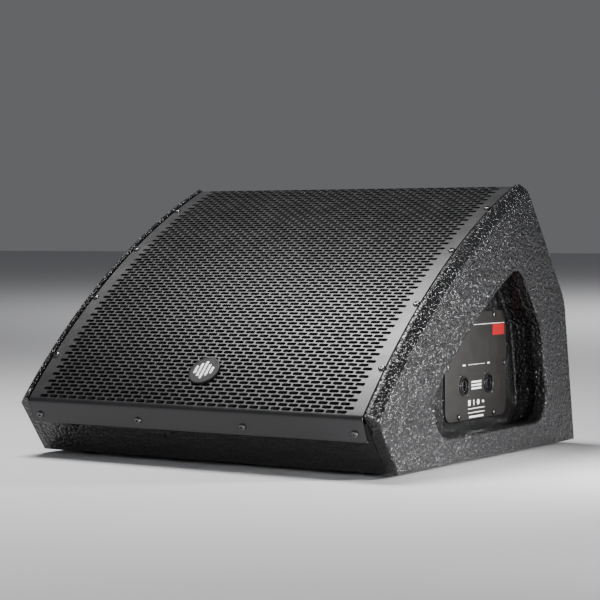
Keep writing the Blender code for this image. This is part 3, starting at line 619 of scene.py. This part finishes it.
def plain_sheet():
    """The flat sheet's unpunched part: borders, both lips, and the row ends, as a closed shell."""
    inner = [-field_half + SLOT_PITCH / 2 * i for i in range(2 * SLOTS + 2)]
    sides = [-SHEET_HALF, -SHEET_HALF + SHEET_EASE, -SHEET_HALF + 0.005]
    across = sides + inner + [-x for x in reversed(sides)]
    fold = [length for length in path_lengths if SHEET_EASE < length < field_from - 0.0003
            and abs(length - path_lengths[fold_at]) < FOLD_HALF]
    over = [length for length in path_lengths
            if field_to + 0.001 < length < path_lengths[-1] - 0.0008]
    lip = [0.0, SHEET_EASE] + [0.003 + 0.0055 * i for i in range(5)]
    ends = [path_lengths[-1] - SHEET_EASE, path_lengths[-1]]
    rows = [field_from + ROW_PITCH * i for i in range(ROWS + 1)]
    up = sorted(set(lip + fold + rows + over + ends))
    last_x, last_y = len(across) - 1, len(up) - 1

    def corner_height(i, j):
        return -SHEET_EASE if i in (0, last_x) or j in (0, last_y) else 0.0

    def punched(i, j):
        row = round((up[j] - field_from) / ROW_PITCH, 3)
        shift = int(row) % 2
        return 0 <= row < ROWS and len(sides) + shift <= i < len(sides) + 2 * SLOTS + shift

    faces = [[(x, y, corner_height(i, j)) for j, y in enumerate(up)] for i, x in enumerate(across)]
    backs = [[(x, y, -SHEET_T) for y in up] for x in across]
    return two_faced("plain_sheet", faces, backs, punched)


def new_tree(name, sizes):
    """An empty node tree with named inputs; returns it, its input node and identifiers."""
    tree = bpy.data.node_groups.new(name, "GeometryNodeTree")
    tree.interface.new_socket("Geometry", in_out="INPUT", socket_type="NodeSocketGeometry")
    names = {}
    for label, kind in sizes.items():
        socket = tree.interface.new_socket(label, in_out="INPUT", socket_type="NodeSocket" + kind)
        names[label] = socket.identifier
    tree.interface.new_socket("Geometry", in_out="OUTPUT", socket_type="NodeSocketGeometry")
    return tree, tree.nodes.new("NodeGroupInput"), names


def finish_tree(tree, geometry, material):
    """The end of a tree: its instances made real, and given their material."""
    real = wired(tree, "GeometryNodeRealizeInstances", {0: geometry})
    coat = wired(tree, "GeometryNodeSetMaterial", {"Geometry": real.outputs[0], "Material": material})
    wired(tree, "NodeGroupOutput", {0: coat.outputs[0]})


def math_node(tree, operation, a, b=0.0):
    """The result of a math step of a tree; a and b are sockets or numbers."""
    return wired(tree, "ShaderNodeMath", {0: a, 1: b}, operation=operation).outputs[0]


def punching_tree():
    """Rows of cells, every second row shifted half a pitch, bent with the plain sheet."""
    tree, given, names = new_tree("punched_and_rolled", {
        "Cell": "Object", "Path": "Object", "Slots in a row": "Int", "Rows": "Int",
        "Slot pitch": "Float", "Row pitch": "Float", "First row": "Float", "Coat": "Material"})
    take = given.outputs
    width = math_node(tree, "MULTIPLY", math_node(tree, "SUBTRACT", take["Slots in a row"], 1.0),
                      take["Slot pitch"])
    height = math_node(tree, "MULTIPLY", math_node(tree, "SUBTRACT", take["Rows"], 1.0),
                       take["Row pitch"])
    grid = wired(tree, "GeometryNodeMeshGrid", {
        "Size X": width, "Size Y": height, "Vertices X": take["Slots in a row"],
        "Vertices Y": take["Rows"]})
    spot = wired(tree, "GeometryNodeInputPosition")
    parts = wired(tree, "ShaderNodeSeparateXYZ", {0: spot.outputs[0]}).outputs
    half_height = math_node(tree, "MULTIPLY", height, 0.5)
    lifted = math_node(tree, "ADD", parts["Y"], half_height)
    row = math_node(tree, "ROUND", math_node(tree, "DIVIDE", lifted, take["Row pitch"]))
    odd = math_node(tree, "MODULO", row, 2.0)
    quarter = math_node(tree, "MULTIPLY", math_node(tree, "SUBTRACT", odd, 0.5), 0.5)
    offset = wired(tree, "ShaderNodeCombineXYZ", {
        "X": math_node(tree, "MULTIPLY", quarter, take["Slot pitch"]),
        "Y": math_node(tree, "ADD", take["First row"], half_height)})
    stagger = wired(tree, "GeometryNodeSetPosition", {
        "Geometry": grid.outputs["Mesh"], "Offset": offset.outputs[0]})
    cell = wired(tree, "GeometryNodeObjectInfo", {"Object": take["Cell"]})
    cells = wired(tree, "GeometryNodeInstanceOnPoints", {
        "Points": stagger.outputs[0], "Instance": cell.outputs["Geometry"]})
    both = wired(tree, "GeometryNodeJoinGeometry", {0: cells.outputs[0]})
    tree.links.new(take["Geometry"], both.inputs[0])
    real = wired(tree, "GeometryNodeRealizeInstances", {0: both.outputs[0]})
    weld = wired(tree, "GeometryNodeMergeByDistance", {"Geometry": real.outputs[0],
                                                       "Distance": 0.00005})
    guide = wired(tree, "GeometryNodeObjectInfo", {"Object": take["Path"]})
    along = wired(tree, "GeometryNodeSampleCurve", {
        "Curves": guide.outputs["Geometry"], "Length": parts["Y"]}, mode="LENGTH")
    square = wired(tree, "ShaderNodeVectorMath", {0: (1.0, 0.0, 0.0), 1: along.outputs["Tangent"]},
                   operation="CROSS_PRODUCT")
    depth = wired(tree, "ShaderNodeVectorMath", {0: square.outputs[0], "Scale": parts["Z"]},
                  operation="SCALE")
    sideways = wired(tree, "ShaderNodeCombineXYZ", {"X": parts["X"]})
    lowered = wired(tree, "ShaderNodeVectorMath", {0: along.outputs["Position"], 1: depth.outputs[0]},
                    operation="ADD")
    placed = wired(tree, "ShaderNodeVectorMath", {0: lowered.outputs[0], 1: sideways.outputs[0]},
                   operation="ADD")
    bend = wired(tree, "GeometryNodeSetPosition", {"Geometry": weld.outputs[0],
                                                   "Position": placed.outputs[0]})
    finish_tree(tree, bend.outputs[0], take["Coat"])
    return tree, names


def grown(name, base, tree, names, values):
    """Runs a node tree on a base mesh and returns the plain mesh that it makes."""
    holder = add_object(name, base)
    modifier = holder.modifiers.new(name, "NODES")
    modifier.node_group = tree
    for label, value in values.items():
        modifier[names[label]] = value
    bpy.context.view_layer.update()
    made = holder.evaluated_get(bpy.context.evaluated_depsgraph_get())
    mesh = bpy.data.meshes.new_from_object(made)
    holder.modifiers.clear()
    bpy.data.objects.remove(holder)
    return smoothed(mesh)


GRILLE_COAT = finish("satin_powder_coat", ((0.012, 0.012, 0.013), (0.018, 0.018, 0.019)), 40.0,
                     (0.32, 0.40), 2600.0, 0.00006)
guide_curve = bpy.data.curves.new("sheet_path", "CURVE")
guide_curve.dimensions = "3D"
guide_line = guide_curve.splines.new("POLY")
guide_line.points.add(len(path) - 1)
for point, spot in zip(guide_line.points, path):
    point.co = (0.0, spot.x, spot.y, 1.0)
guide = add_object("sheet_path", guide_curve)
cell = add_object("slot_cell", slot_cell())
punching, punching_inputs = punching_tree()
sheet = grown("punched_sheet", plain_sheet(), punching, punching_inputs, {
    "Cell": cell, "Path": guide, "Slots in a row": SLOTS, "Rows": ROWS, "Slot pitch": SLOT_PITCH,
    "Row pitch": ROW_PITCH, "First row": first_row_at, "Coat": GRILLE_COAT})
for helper in (guide, cell):
    bpy.data.objects.remove(helper)
fit_piece("grille_sheet", sheet, GRILLE_COAT, ["grille"], even=False)


# ---- Foam ---------------------------------------------------------------------------------
# A 4 mm sheet of black open-cell foam glued behind the grille. It hides the driver, sags a
# little between its glue lines, and its cut edges are rounded over.
FOAM_T = 0.0040
FOAM_FROM = -0.214
FOAM_TO = 0.204
FOAM_SAG = 0.0005
FOAM_EDGE = 0.0012
FOAM_STEPS = 100
FOAM = finish("open_cell_foam", ((0.004, 0.004, 0.004), (0.011, 0.011, 0.011)), 500.0, (0.90, 1.00),
              900.0, 0.0008, specular=0.2)


def foam_mesh():
    """Sections across the curve, each one round the sheet's face, edge, back and edge."""
    low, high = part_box("grille_foam")
    edge = [(0.0, FOAM_EDGE), (0.0005, 0.0005), (0.0014, 0.0)]
    stations = [(low.x + inward_by, squeeze) for inward_by, squeeze in edge]
    stations += [(low.x + 0.006 + (high.x - low.x - 0.012) * i / 96, 0.0) for i in range(97)]
    stations += [(high.x - inward_by, squeeze) for inward_by, squeeze in reversed(edge)]
    loops = []
    for x, squeeze in stations:
        outer, back = [], []
        for i in range(FOAM_STEPS + 1):
            along = FOAM_FROM + squeeze + (FOAM_TO - FOAM_FROM - 2 * squeeze) * i / FOAM_STEPS
            lean = asin(along / ARC_R)
            rounding = FOAM_EDGE if i in (0, FOAM_STEPS) else 0.0
            sag = FOAM_SAG * (0.5 + 0.5 * noise.noise(Vector((x * 55, along * 55, 0.0))))
            for run, radius in ((outer, UNDER_SHEET - squeeze - rounding - sag),
                                (back, UNDER_SHEET - FOAM_T + squeeze + rounding)):
                p = front(radius * sin(lean), radius * cos(lean) - ARC_DROP)
                run.append((x, p.x, p.y))
        loops.append(outer + back[::-1])
    return skin("foam_sheet", [loops], end_caps([loops]))


fit_piece("foam_sheet_cut", foam_mesh(), FOAM, ["grille_foam"], even=False)


# ---- Badge --------------------------------------------------------------------------------
# A dark moulded disc riveted to the grille near its lower fold, with five polished bars, like
# a level meter, standing on its face.
FRONT_PLACE = (Matrix.Translation((0, FRONT_MIDDLE.x, FRONT_MIDDLE.y))
               @ Matrix.Rotation(FRONT_TILT, 4, "X"))
BADGE_R = 0.0198
BADGE_T = 0.0025
BADGE_FROM_FOLD = 0.0550
BAR_LENGTHS = (0.0120, 0.0195, 0.0265, 0.0175, 0.0105)
BAR_WIDTH = 0.0036
BAR_STEP = 0.0055
BADGE_DARK = finish("badge_moulding", ((0.007, 0.007, 0.008), (0.011, 0.011, 0.012)), 90.0, (0.50, 0.60),
                    1800.0, 0.00003, specular=0.3)
BADGE_METAL = finish("badge_bright_bars", ((0.80, 0.80, 0.80), (0.88, 0.88, 0.87)), 120.0, (0.22, 0.32),
                     2500.0, 0.00002, metallic=0.35)


def on_curve(x, share):
    """A place on the grille's outer face, at a share of the curve's length, its Z square to it."""
    lean = HALF_ANGLE * (1 - 2 * share)
    return (FRONT_PLACE @ Matrix.Translation((x, 0, -ARC_DROP)) @ Matrix.Rotation(lean, 4, "X")
            @ Matrix.Translation((0, 0, ARC_R)))


def rounded_rectangle(middle, length, height, radius, steps=5):
    """An outline with round corners about its middle."""
    outline = []
    for quarter, (sx, sy) in enumerate(((1, 1), (-1, 1), (-1, -1), (1, -1))):
        for i in range(steps + 1):
            angle = (quarter + i / steps) * pi / 2
            outline.append(Vector((middle[0] + sx * (length / 2 - radius) + radius * cos(angle),
                                   middle[1] + sy * (height / 2 - radius) + radius * sin(angle))))
    return outline


def slab(outline, place, low, high, ease):
    """Loops of a flat plate from its back to its eased front, at a place."""
    steps = [(0.0, low)] + [(inset, high - depth) for inset, depth in quarter_round(ease, 3)]
    loops = []
    for inset, height in steps:
        loops.append([tuple(place @ Vector((p.x, p.y, height)))
                      for p in inset_loop(outline, [inset] * len(outline))])
    return loops


badge_place = on_curve(0.0, BADGE_FROM_FOLD / (2 * HALF_ANGLE * ARC_R))
badge_rings = [(0.0, 0.0004), (BADGE_R - 0.0006, 0.0004), (BADGE_R, 0.0009),
               (BADGE_R, BADGE_T - 0.0008), (BADGE_R - 0.0002, BADGE_T - 0.0003),
               (BADGE_R - 0.0008, BADGE_T), (BADGE_R - 0.0017, BADGE_T),
               (BADGE_R - 0.0020, BADGE_T - 0.0003), (0.0, BADGE_T - 0.0003)]
fit_piece("badge_disc", skin("badge_disc", [turned(badge_rings, 64, badge_place)], []), BADGE_DARK,
          ["badge"])
bar_runs = []
for number, length in enumerate(BAR_LENGTHS):
    outline = rounded_rectangle(((number - 2) * BAR_STEP, 0.0), BAR_WIDTH, length, BAR_WIDTH * 0.45)
    bar_runs.append(slab(outline, badge_place, BADGE_T - 0.0005, BADGE_T + 0.0003, 0.0003))
fit_piece("badge_bars", skin("badge_bars", bar_runs, end_caps(bar_runs)), BADGE_METAL)


# ---- Screws -------------------------------------------------------------------------------
# Black zinc-plated steel: button heads with a six-lobed drive hold the grille along its sides
# and lip, and domed cross-recessed heads hold the connector plate.
BLACK_STEEL = finish("black_zinc_steel", ((0.090, 0.090, 0.094), (0.150, 0.148, 0.146)), 300.0,
                     (0.16, 0.26), 2200.0, 0.00003, metallic=0.85)
SIDE_SCREW_X = 0.2293
SIDE_SCREW_SHARES = (0.158, 0.388, 0.617, 0.846)
LIP_SCREW_X = (-0.220, -0.0733, 0.0733, 0.220)
LIP_SCREW_DOWN = 0.0190
PLATE = Vector((0.1575, 0.130))
PLATE_MIDDLE = Vector((0.0673, 0.1085))
PLATE_T = 0.002
PLATE_FACE = WIDTH / 2 - WELL_DEPTH + GAP + PLATE_T
PLATE_SCREW_IN = 0.0048
PLATE_SCREW_Y = 0.0455


def on_lip(x, down):
    """A place on the lip's outer face, its Z square to the face."""
    return (FRONT_PLACE @ Matrix.Translation((x, -FRONT_CHORD / 2, 0))
            @ Matrix.Rotation(pi / 2 - LIP_LEAN, 4, "X") @ Matrix.Translation((0, -down, 0)))


def on_plate(along, up):
    """A place on the connector plate's outer face, from its middle."""
    spot = Matrix.Translation((PLATE_FACE, PLATE_MIDDLE.x + along, PLATE_MIDDLE.y + up))
    return spot @ Matrix.Rotation(pi / 2, 4, "Y")


def screw_mesh(name, radius, crown, shank, length, drive, lobe, count, sides=24):
    """A domed screw about Z, its head on Z = 0, with a lobed drive sunk in the crown."""
    rings = [(0.0, -length), (shank, -length), (shank, GAP), (radius - 0.0002, GAP), (radius, GAP * 2),
             (radius, crown * 0.35), (radius * 0.93, crown * 0.68), (radius * 0.76, crown * 0.90),
             (radius * 0.56, crown), (drive, crown), (drive - 0.0001, crown * 0.45), (0.0, crown * 0.38)]
    return skin(name, [turned(rings, sides, shaped=(9, 10), swell=lambda a: lobe * cos(count * a))], [])


def fixing_tree():
    """One fixing at each point of a mesh, turned as the point says."""
    tree, given, names = new_tree("fixings", {"Fixing": "Object", "Size": "Float", "Plating": "Material"})
    take = given.outputs
    turn = wired(tree, "GeometryNodeInputNamedAttribute", {"Name": "turn"}, data_type="FLOAT_VECTOR")
    turned_to = wired(tree, "FunctionNodeEulerToRotation", {0: turn.outputs["Attribute"]})
    fixing = wired(tree, "GeometryNodeObjectInfo", {"Object": take["Fixing"]})
    placed = wired(tree, "GeometryNodeInstanceOnPoints", {
        "Points": take["Geometry"], "Instance": fixing.outputs["Geometry"],
        "Rotation": turned_to.outputs[0], "Scale": take["Size"]})
    finish_tree(tree, placed.outputs[0], take["Plating"])
    return tree, names


fixings, fixing_inputs = fixing_tree()


def drive_in(name, places, fixing_mesh, replaced=(), size=1.0):
    """Fits the same screw at every place."""
    points = bpy.data.meshes.new(name + "_points")
    points.from_pydata([tuple(place.translation) for place in places], [], [])
    turns = points.attributes.new("turn", "FLOAT_VECTOR", "POINT")
    for entry, place in zip(turns.data, places):
        entry.vector = place.to_euler()
    fixing = add_object(name + "_fixing", fixing_mesh)
    mesh = grown(name, points, fixings, fixing_inputs,
                 {"Fixing": fixing, "Size": size, "Plating": BLACK_STEEL})
    bpy.data.objects.remove(fixing)
    return fit_piece(name, mesh, BLACK_STEEL, replaced, even=False)


def spun(places):
    """The same places, each screw stopped at an angle of its own."""
    return [place @ Matrix.Rotation(2.4 * i, 4, "Z") for i, place in enumerate(places)]


side_places = [on_curve(side * SIDE_SCREW_X, share) for side in (-1, 1) for share in SIDE_SCREW_SHARES]
lip_places = [on_lip(x, LIP_SCREW_DOWN) for x in LIP_SCREW_X]
button_head = screw_mesh("button_head", radius=0.0043, crown=0.0022, shank=0.0018, length=0.0098,
                         drive=0.0019, lobe=0.00028, count=6)
drive_in("grille_screws", spun(side_places + lip_places), button_head,
         [f"side_screw_{n}" for n in range(1, 9)] + [f"lip_screw_{n}" for n in range(1, 5)])
edge_y = PLATE.x / 2 - PLATE_SCREW_IN
edge_z = PLATE.y / 2 - PLATE_SCREW_IN
plate_spots = [(side * PLATE_SCREW_Y, end * edge_z) for end in (-1, 1) for side in (-1, 1)]
plate_places = [on_plate(along, up) for along, up in plate_spots + [(-edge_y, 0.0), (edge_y, 0.0)]]
pan_head = screw_mesh("pan_head", radius=0.0040, crown=0.0025, shank=0.0018, length=0.0098,
                      drive=0.0013, lobe=0.0006, count=4)
drive_in("plate_screws", spun(plate_places), pan_head, [f"plate_screw_{n}" for n in range(1, 7)])


# ---- Connector plate ----------------------------------------------------------------------
# A 2 mm steel plate, powder coated a warm dark grey, with two round holes for the sockets.
# Its plain rules, marks and red label are screen printed.
PLATE_RADIUS = 0.012
SOCKET_R = 0.0120
SOCKET_SPACING = 0.0635
SOCKET_Z = 0.0850
PRINT_T = 0.00006
PLATE_COAT = finish("plate_powder_coat", ((0.012, 0.0108, 0.010), (0.016, 0.0145, 0.0135)), 50.0,
                    (0.40, 0.50), 2400.0, 0.00006, specular=0.4)
WHITE_PRINT = finish("white_print", ((0.68, 0.68, 0.66), (0.78, 0.78, 0.76)), 700.0, (0.45, 0.60),
                     3000.0, 0.00001)
RED_PRINT = finish("red_print", ((0.27, 0.004, 0.007), (0.33, 0.006, 0.009)), 500.0, (0.38, 0.50),
                   3000.0, 0.00001)
socket_places = [on_plate(side * SOCKET_SPACING / 2, SOCKET_Z - PLATE_MIDDLE.y) for side in (-1, 1)]
plate_place = Matrix(((0, 0, 1, PLATE_FACE), (1, 0, 0, 0), (0, 1, 0, 0), (0, 0, 0, 1)))

plate_run = slab(rounded_rectangle(PLATE_MIDDLE, PLATE.x, PLATE.y, PLATE_RADIUS, 10), plate_place,
                 -PLATE_T, 0.0, 0.0004)
hole_rings = [(SOCKET_R + 0.0002, -PLATE_T), (SOCKET_R + 0.0002, -0.0002), (SOCKET_R + 0.0004, 0.0)]
hole_runs = [turned(hole_rings, 64, place) for place in socket_places]
plate_caps = [(plate_run[i], hole_runs[0][i], hole_runs[1][i]) for i in (0, -1)]
plate_mesh = skin("connector_plate", [plate_run] + hole_runs, plate_caps)
fit_piece("connector_plate_coated", plate_mesh, PLATE_COAT, ["connector_plate"])


def printed(name, marks, ink):
    """Thin raised prints from (Y, Z, length, height, corner radius)."""
    runs = []
    for y, z, length, height, radius in marks:
        outline = rounded_rectangle((y, z), length, height, radius, 4)
        runs.append(slab(outline, plate_place, 0.00001, PRINT_T, 0.00001))
    fit_piece(name, skin(name, runs, end_caps(runs)), ink, even=False)


left_y, right_y = PLATE_MIDDLE.x - SOCKET_SPACING / 2, PLATE_MIDDLE.x + SOCKET_SPACING / 2
rules = [(0.0672, 0.1579, 0.1484, 0.0006, 0.0002), (PLATE_MIDDLE.x, 0.1098, 0.043, 0.0005, 0.0002),
         (left_y, 0.1098, 0.0075, 0.0018, 0.0005), (right_y, 0.1098, 0.0060, 0.0018, 0.0005)]
rules += [(PLATE_MIDDLE.x, 0.0886 - 0.0040 * i, 0.026, 0.0022, 0.0004) for i in range(3)]
rules += [(PLATE_MIDDLE.x, 0.0565 - 0.0050 * i, length, height, 0.0004)
          for i, (length, height) in enumerate(((0.043, 0.0010), (0.043, 0.0010), (0.037, 0.0024)))]
marks = [(PLATE_MIDDLE.x + aside, 0.0636, length, height, radius) for aside, length, height, radius in (
    (-0.0180, 0.0062, 0.0068, 0.0006), (-0.0065, 0.0024, 0.0068, 0.0010),
    (0.0050, 0.0066, 0.0066, 0.0032), (0.0175, 0.0050, 0.0030, 0.0012))]
printed("plate_rules", rules + marks, WHITE_PRINT)
printed("plate_red_label", [(0.1256, 0.1502, 0.0315, 0.0136, 0.0005)], RED_PRINT)


# ---- Sockets ------------------------------------------------------------------------------
# Two round loudspeaker sockets in black glass-filled nylon: an outer ring, a deep round slot
# for the plug's sleeve, and a middle boss bored out with two keyways.
SOCKET_NYLON = finish("socket_nylon", ((0.008, 0.008, 0.009), (0.014, 0.014, 0.015)), 200.0, (0.26, 0.38),
                      2000.0, 0.00004)
CONTACT_PLATING = finish("contact_plating", ((0.55, 0.53, 0.50), (0.66, 0.64, 0.60)), 400.0, (0.22, 0.34),
                         2500.0, 0.00002, metallic=1.0)
SOCKET_SCREW = Vector((0.0095, 0.0120))


def keyway(angle):
    """The bore's two keyways, one above and one below."""
    return 0.0019 if abs(cos(angle)) > 0.94 else 0.0


socket_rings = [
    (0.0, -0.0220), (0.0117, -0.0220), (0.0117, -0.0002), (0.0120, 0.0002), (0.0120, 0.0007),
    (0.0116, 0.0012), (0.0104, 0.0012), (0.0100, 0.0009), (0.0098, 0.0004), (0.0098, -0.0100),
    (0.0073, -0.0100), (0.0073, 0.0001), (0.0071, 0.0005), (0.0067, 0.0007), (0.0048, 0.0007),
    (0.0045, 0.0003), (0.0045, -0.0118), (0.0, -0.0118)]
for name, place in zip(("input_socket", "link_socket"), socket_places):
    mesh = skin(name, [turned(socket_rings, 64, place, (14, 15, 16), keyway)], [])
    fit_piece(name + "_moulded", mesh, SOCKET_NYLON, [name])
blade_runs = []
for place in socket_places:
    for turn in (0.25, 0.75, 1.25, 1.75):
        spot = place @ Matrix.Rotation(pi * turn, 4, "Z") @ Matrix.Translation((0.0070, 0, -0.0098))
        blade = rounded_rectangle((0.0009, 0.0), 0.0008, 0.0034, 0.0003, 2)
        blade_runs.append(slab(blade, spot, 0.0, 0.0080, 0.0002))
fit_piece("socket_contacts", skin("socket_contacts", blade_runs, end_caps(blade_runs)),
          CONTACT_PLATING)
small_head = screw_mesh("small_head", radius=0.0021, crown=0.0010, shank=0.0010, length=0.0060,
                        drive=0.0007, lobe=0.0003, count=4, sides=16)
small_places = [place @ Matrix.Translation((-side * SOCKET_SCREW.y, -side * SOCKET_SCREW.x, 0.0))
                for place in socket_places for side in (-1, 1)]
drive_in("socket_screws", spun(small_places), small_head)


# ---- Coaxial driver -----------------------------------------------------------------------
# A 12-inch coaxial: a cast frame, a pulp cone on a half-roll cloth surround and an amber
# spider, a ring magnet with its copper coil, and a small horn and compression driver in it.
DRIVER_UP = 0.008
BAFFLE_BACK = 0.008
DRIVER_PLACE = FRONT_PLACE @ Matrix.Translation((0, DRIVER_UP, -BAFFLE_BACK))
CAST_ALLOY = finish("cast_alloy_frame", ((0.030, 0.030, 0.032), (0.048, 0.048, 0.050)), 80.0,
                    (0.42, 0.58), 700.0, 0.00012, metallic=0.5)
FERRITE = finish("ferrite_ring", ((0.060, 0.060, 0.064), (0.095, 0.095, 0.098)), 150.0, (0.55, 0.70),
                 900.0, 0.00008, metallic=0.3)
CONE_PULP = finish("cone_pulp", ((0.016, 0.016, 0.018), (0.034, 0.034, 0.036)), 260.0, (0.72, 0.86),
                   800.0, 0.0003)
SURROUND_CLOTH = finish("doped_surround_cloth", ((0.010, 0.010, 0.010), (0.020, 0.020, 0.020)), 900.0,
                        (0.48, 0.66), 1600.0, 0.00025)
SPIDER_CLOTH = finish("amber_spider_cloth", ((0.36, 0.24, 0.10), (0.50, 0.36, 0.18)), 700.0, (0.78, 0.90),
                      1600.0, 0.00025)
COIL_WIRE = finish("enamelled_copper", ((0.52, 0.22, 0.09), (0.68, 0.32, 0.15)), 500.0, (0.26, 0.40),
                   2200.0, 0.00008, metallic=0.9)
HORN_PLASTIC = finish("horn_moulding", ((0.012, 0.012, 0.013), (0.020, 0.020, 0.021)), 120.0,
                      (0.36, 0.48), 1500.0, 0.00006)
TITANIUM = finish("titanium_foil", ((0.44, 0.42, 0.40), (0.54, 0.52, 0.49)), 200.0, (0.24, 0.36),
                  1200.0, 0.00004, metallic=1.0)
CLOTH_SIDES = 96
SPIDER_FOLDS = 9


def stretched(name, rings, thickness, material, node):
    """A ring of cloth with a thickness, turned about the driver's axis, put in place of its CAD node on no
    body.
    """
    back = [(r, z - thickness) for r, z in reversed(rings)]
    loops = turned(rings + back + rings[:1], CLOTH_SIDES, DRIVER_PLACE)
    cloth = fit_piece(name, skin(name, [loops], []), material, [node], body=None, even=False)
    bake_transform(cloth)


roll = [(0.13325 - 0.00725 * cos(pi * i / 16), 0.0012 + 0.0085 * sin(pi * i / 16)) for i in range(17)]
surround_rings = [(0.1205, 0.0012), (0.1235, 0.0012)] + roll + [(0.1440, 0.0012), (0.1500, 0.0012)]
stretched("woofer_surround_cloth", surround_rings, 0.0009, SURROUND_CLOTH,
          "woofer_surround")
folds = [(0.0400, -0.0680)]
for i in range(1, 8 * SPIDER_FOLDS + 1):
    folds.append((0.0400 + 0.0390 * i / (8 * SPIDER_FOLDS), -0.0667 - 0.0013 * cos(tau * i / 16)))
stretched("woofer_spider_cloth", folds, 0.0007, SPIDER_CLOTH,
          "woofer_spider")

cone_front = [(0.0372, -0.0560), (0.0540, -0.0443), (0.0720, -0.0330), (0.0890, -0.0213), (0.1060, -0.0110),
              (0.1180, -0.0030), (0.1240, -0.0003)]
ribs = []
for (r, z), (next_r, next_z) in zip(cone_front[1:5], cone_front[2:6]):
    ribs += [(r, z), (r + 0.0012, z + 0.0013), (r + 0.0024, z + 0.0016)]
cone_rings = ([cone_front[0]] + ribs + cone_front[5:]
              + [(0.1240, -0.0012), (0.1185, -0.0045), (0.1065, -0.0130), (0.0725, -0.0350),
                 (0.0390, -0.0572), (0.0372, -0.0572), (0.0372, -0.0560)])
cone_mesh = skin("woofer_cone", [turned(cone_rings, CLOTH_SIDES, DRIVER_PLACE)], [])
fit_piece("woofer_cone_pulp", cone_mesh, CONE_PULP, ["woofer_cone"], body="cone")
horn_rings = [(0.0190, -0.0857), (0.0197, -0.0800), (0.0220, -0.0650), (0.0253, -0.0550), (0.0300, -0.0450),
              (0.0362, -0.0355), (0.0440, -0.0282), (0.0490, -0.0262), (0.0515, -0.0258), (0.0520, -0.0268),
              (0.0515, -0.0280), (0.0460, -0.0300), (0.0330, -0.0460), (0.0250, -0.0660), (0.0240, -0.0857),
              (0.0190, -0.0857)]
fit_piece("horn_moulded", skin("horn", [turned(horn_rings, 72, DRIVER_PLACE)], []), HORN_PLASTIC,
          ["horn"])
dress(CAST_ALLOY, "woofer_basket", "hf_driver")
dress(FERRITE, "woofer_magnet")
dress(COIL_WIRE, "voice_coil")
dress(TITANIUM, "hf_diaphragm")


# ---- Inside the cabinet -------------------------------------------------------------------
# Two moulded port tubes, a small crossover board with its coils and film capacitors, three
# clipped leads, and a pad of polyester wadding stapled to the rear.
PORT_PLASTIC = finish("port_tube_plastic", ((0.013, 0.013, 0.013), (0.021, 0.021, 0.021)), 90.0,
                      (0.40, 0.52), 1300.0, 0.00006)
BOARD_LAMINATE = finish("green_board_laminate", ((0.020, 0.110, 0.045), (0.040, 0.160, 0.070)), 300.0,
                        (0.34, 0.50), 1800.0, 0.00005)
FILM_CASE = finish("capacitor_film_case", ((0.50, 0.37, 0.04), (0.60, 0.46, 0.08)), 220.0, (0.30, 0.42),
                   1500.0, 0.00003)
CABLE_PVC = finish("cable_sheath", ((0.014, 0.014, 0.014), (0.026, 0.026, 0.026)), 350.0, (0.36, 0.50),
                   1500.0, 0.00005)
WADDING = finish("polyester_wadding", ((0.46, 0.46, 0.45), (0.62, 0.62, 0.60)), 180.0, (0.92, 1.00),
                 700.0, 0.0012, specular=0.2)
dress(PORT_PLASTIC, "port_tube_left", "port_tube_right")
dress(BOARD_LAMINATE, "crossover_board")
dress(COIL_WIRE, "inductor_woofer", "inductor_horn")
dress(FILM_CASE, "capacitor_woofer", "capacitor_horn")
dress(CABLE_PVC, "input_lead", "woofer_lead", "hf_lead")
STAPLES = (0.12, 0.38, 0.62, 0.88)
WADDING_HALF = 0.178
WADDING_HEIGHTS = (0.047, 0.163)
WADDING_DEPTHS = (0.0005, 0.0185)
WADDING_MIDDLE = 0.0095


def wadding_mesh():
    """The pad as a soft block: rounded over its edges, tufted where four staples hold it."""
    corner = KINK + REAR_IN * (BOARD_INSET + PLY + 0.001)
    low, high = [along_line(corner, REAR_IN, height) for height in WADDING_HEIGHTS]
    across, up = 72, 24
    rear, face = [], []
    for i in range(across + 1):
        u = i / across
        rear.append([])
        face.append([])
        for j in range(up + 1):
            v = j / up
            edge = min(1.0, 9.0 * min(u, 1 - u)) * min(1.0, 4.0 * min(v, 1 - v))
            tuft = min(1.0, min(abs(u - s) * 14.0 + abs(v - 0.5) * 5.0 for s in STAPLES))
            crown = sqrt(edge) * (0.45 + 0.55 * tuft) * (0.93 + 0.07 * sin(41.0 * u) * cos(17.0 * v))
            swelled = WADDING_MIDDLE + (WADDING_DEPTHS[1] - WADDING_MIDDLE) * max(crown, 0.12)
            for column, reach in ((rear[-1], WADDING_DEPTHS[0]), (face[-1], swelled)):
                point = low.lerp(high, v) + REAR_IN * reach
                column.append((WADDING_HALF * (2 * u - 1), point.x, point.y))
    mesh = two_faced("wadding", face, rear)
    mesh.polygons.foreach_set("use_smooth", [True] * len(mesh.polygons))
    return mesh


wadding = fit_piece("wadding_pad", wadding_mesh(), WADDING, ["wadding"],
                    even=False)
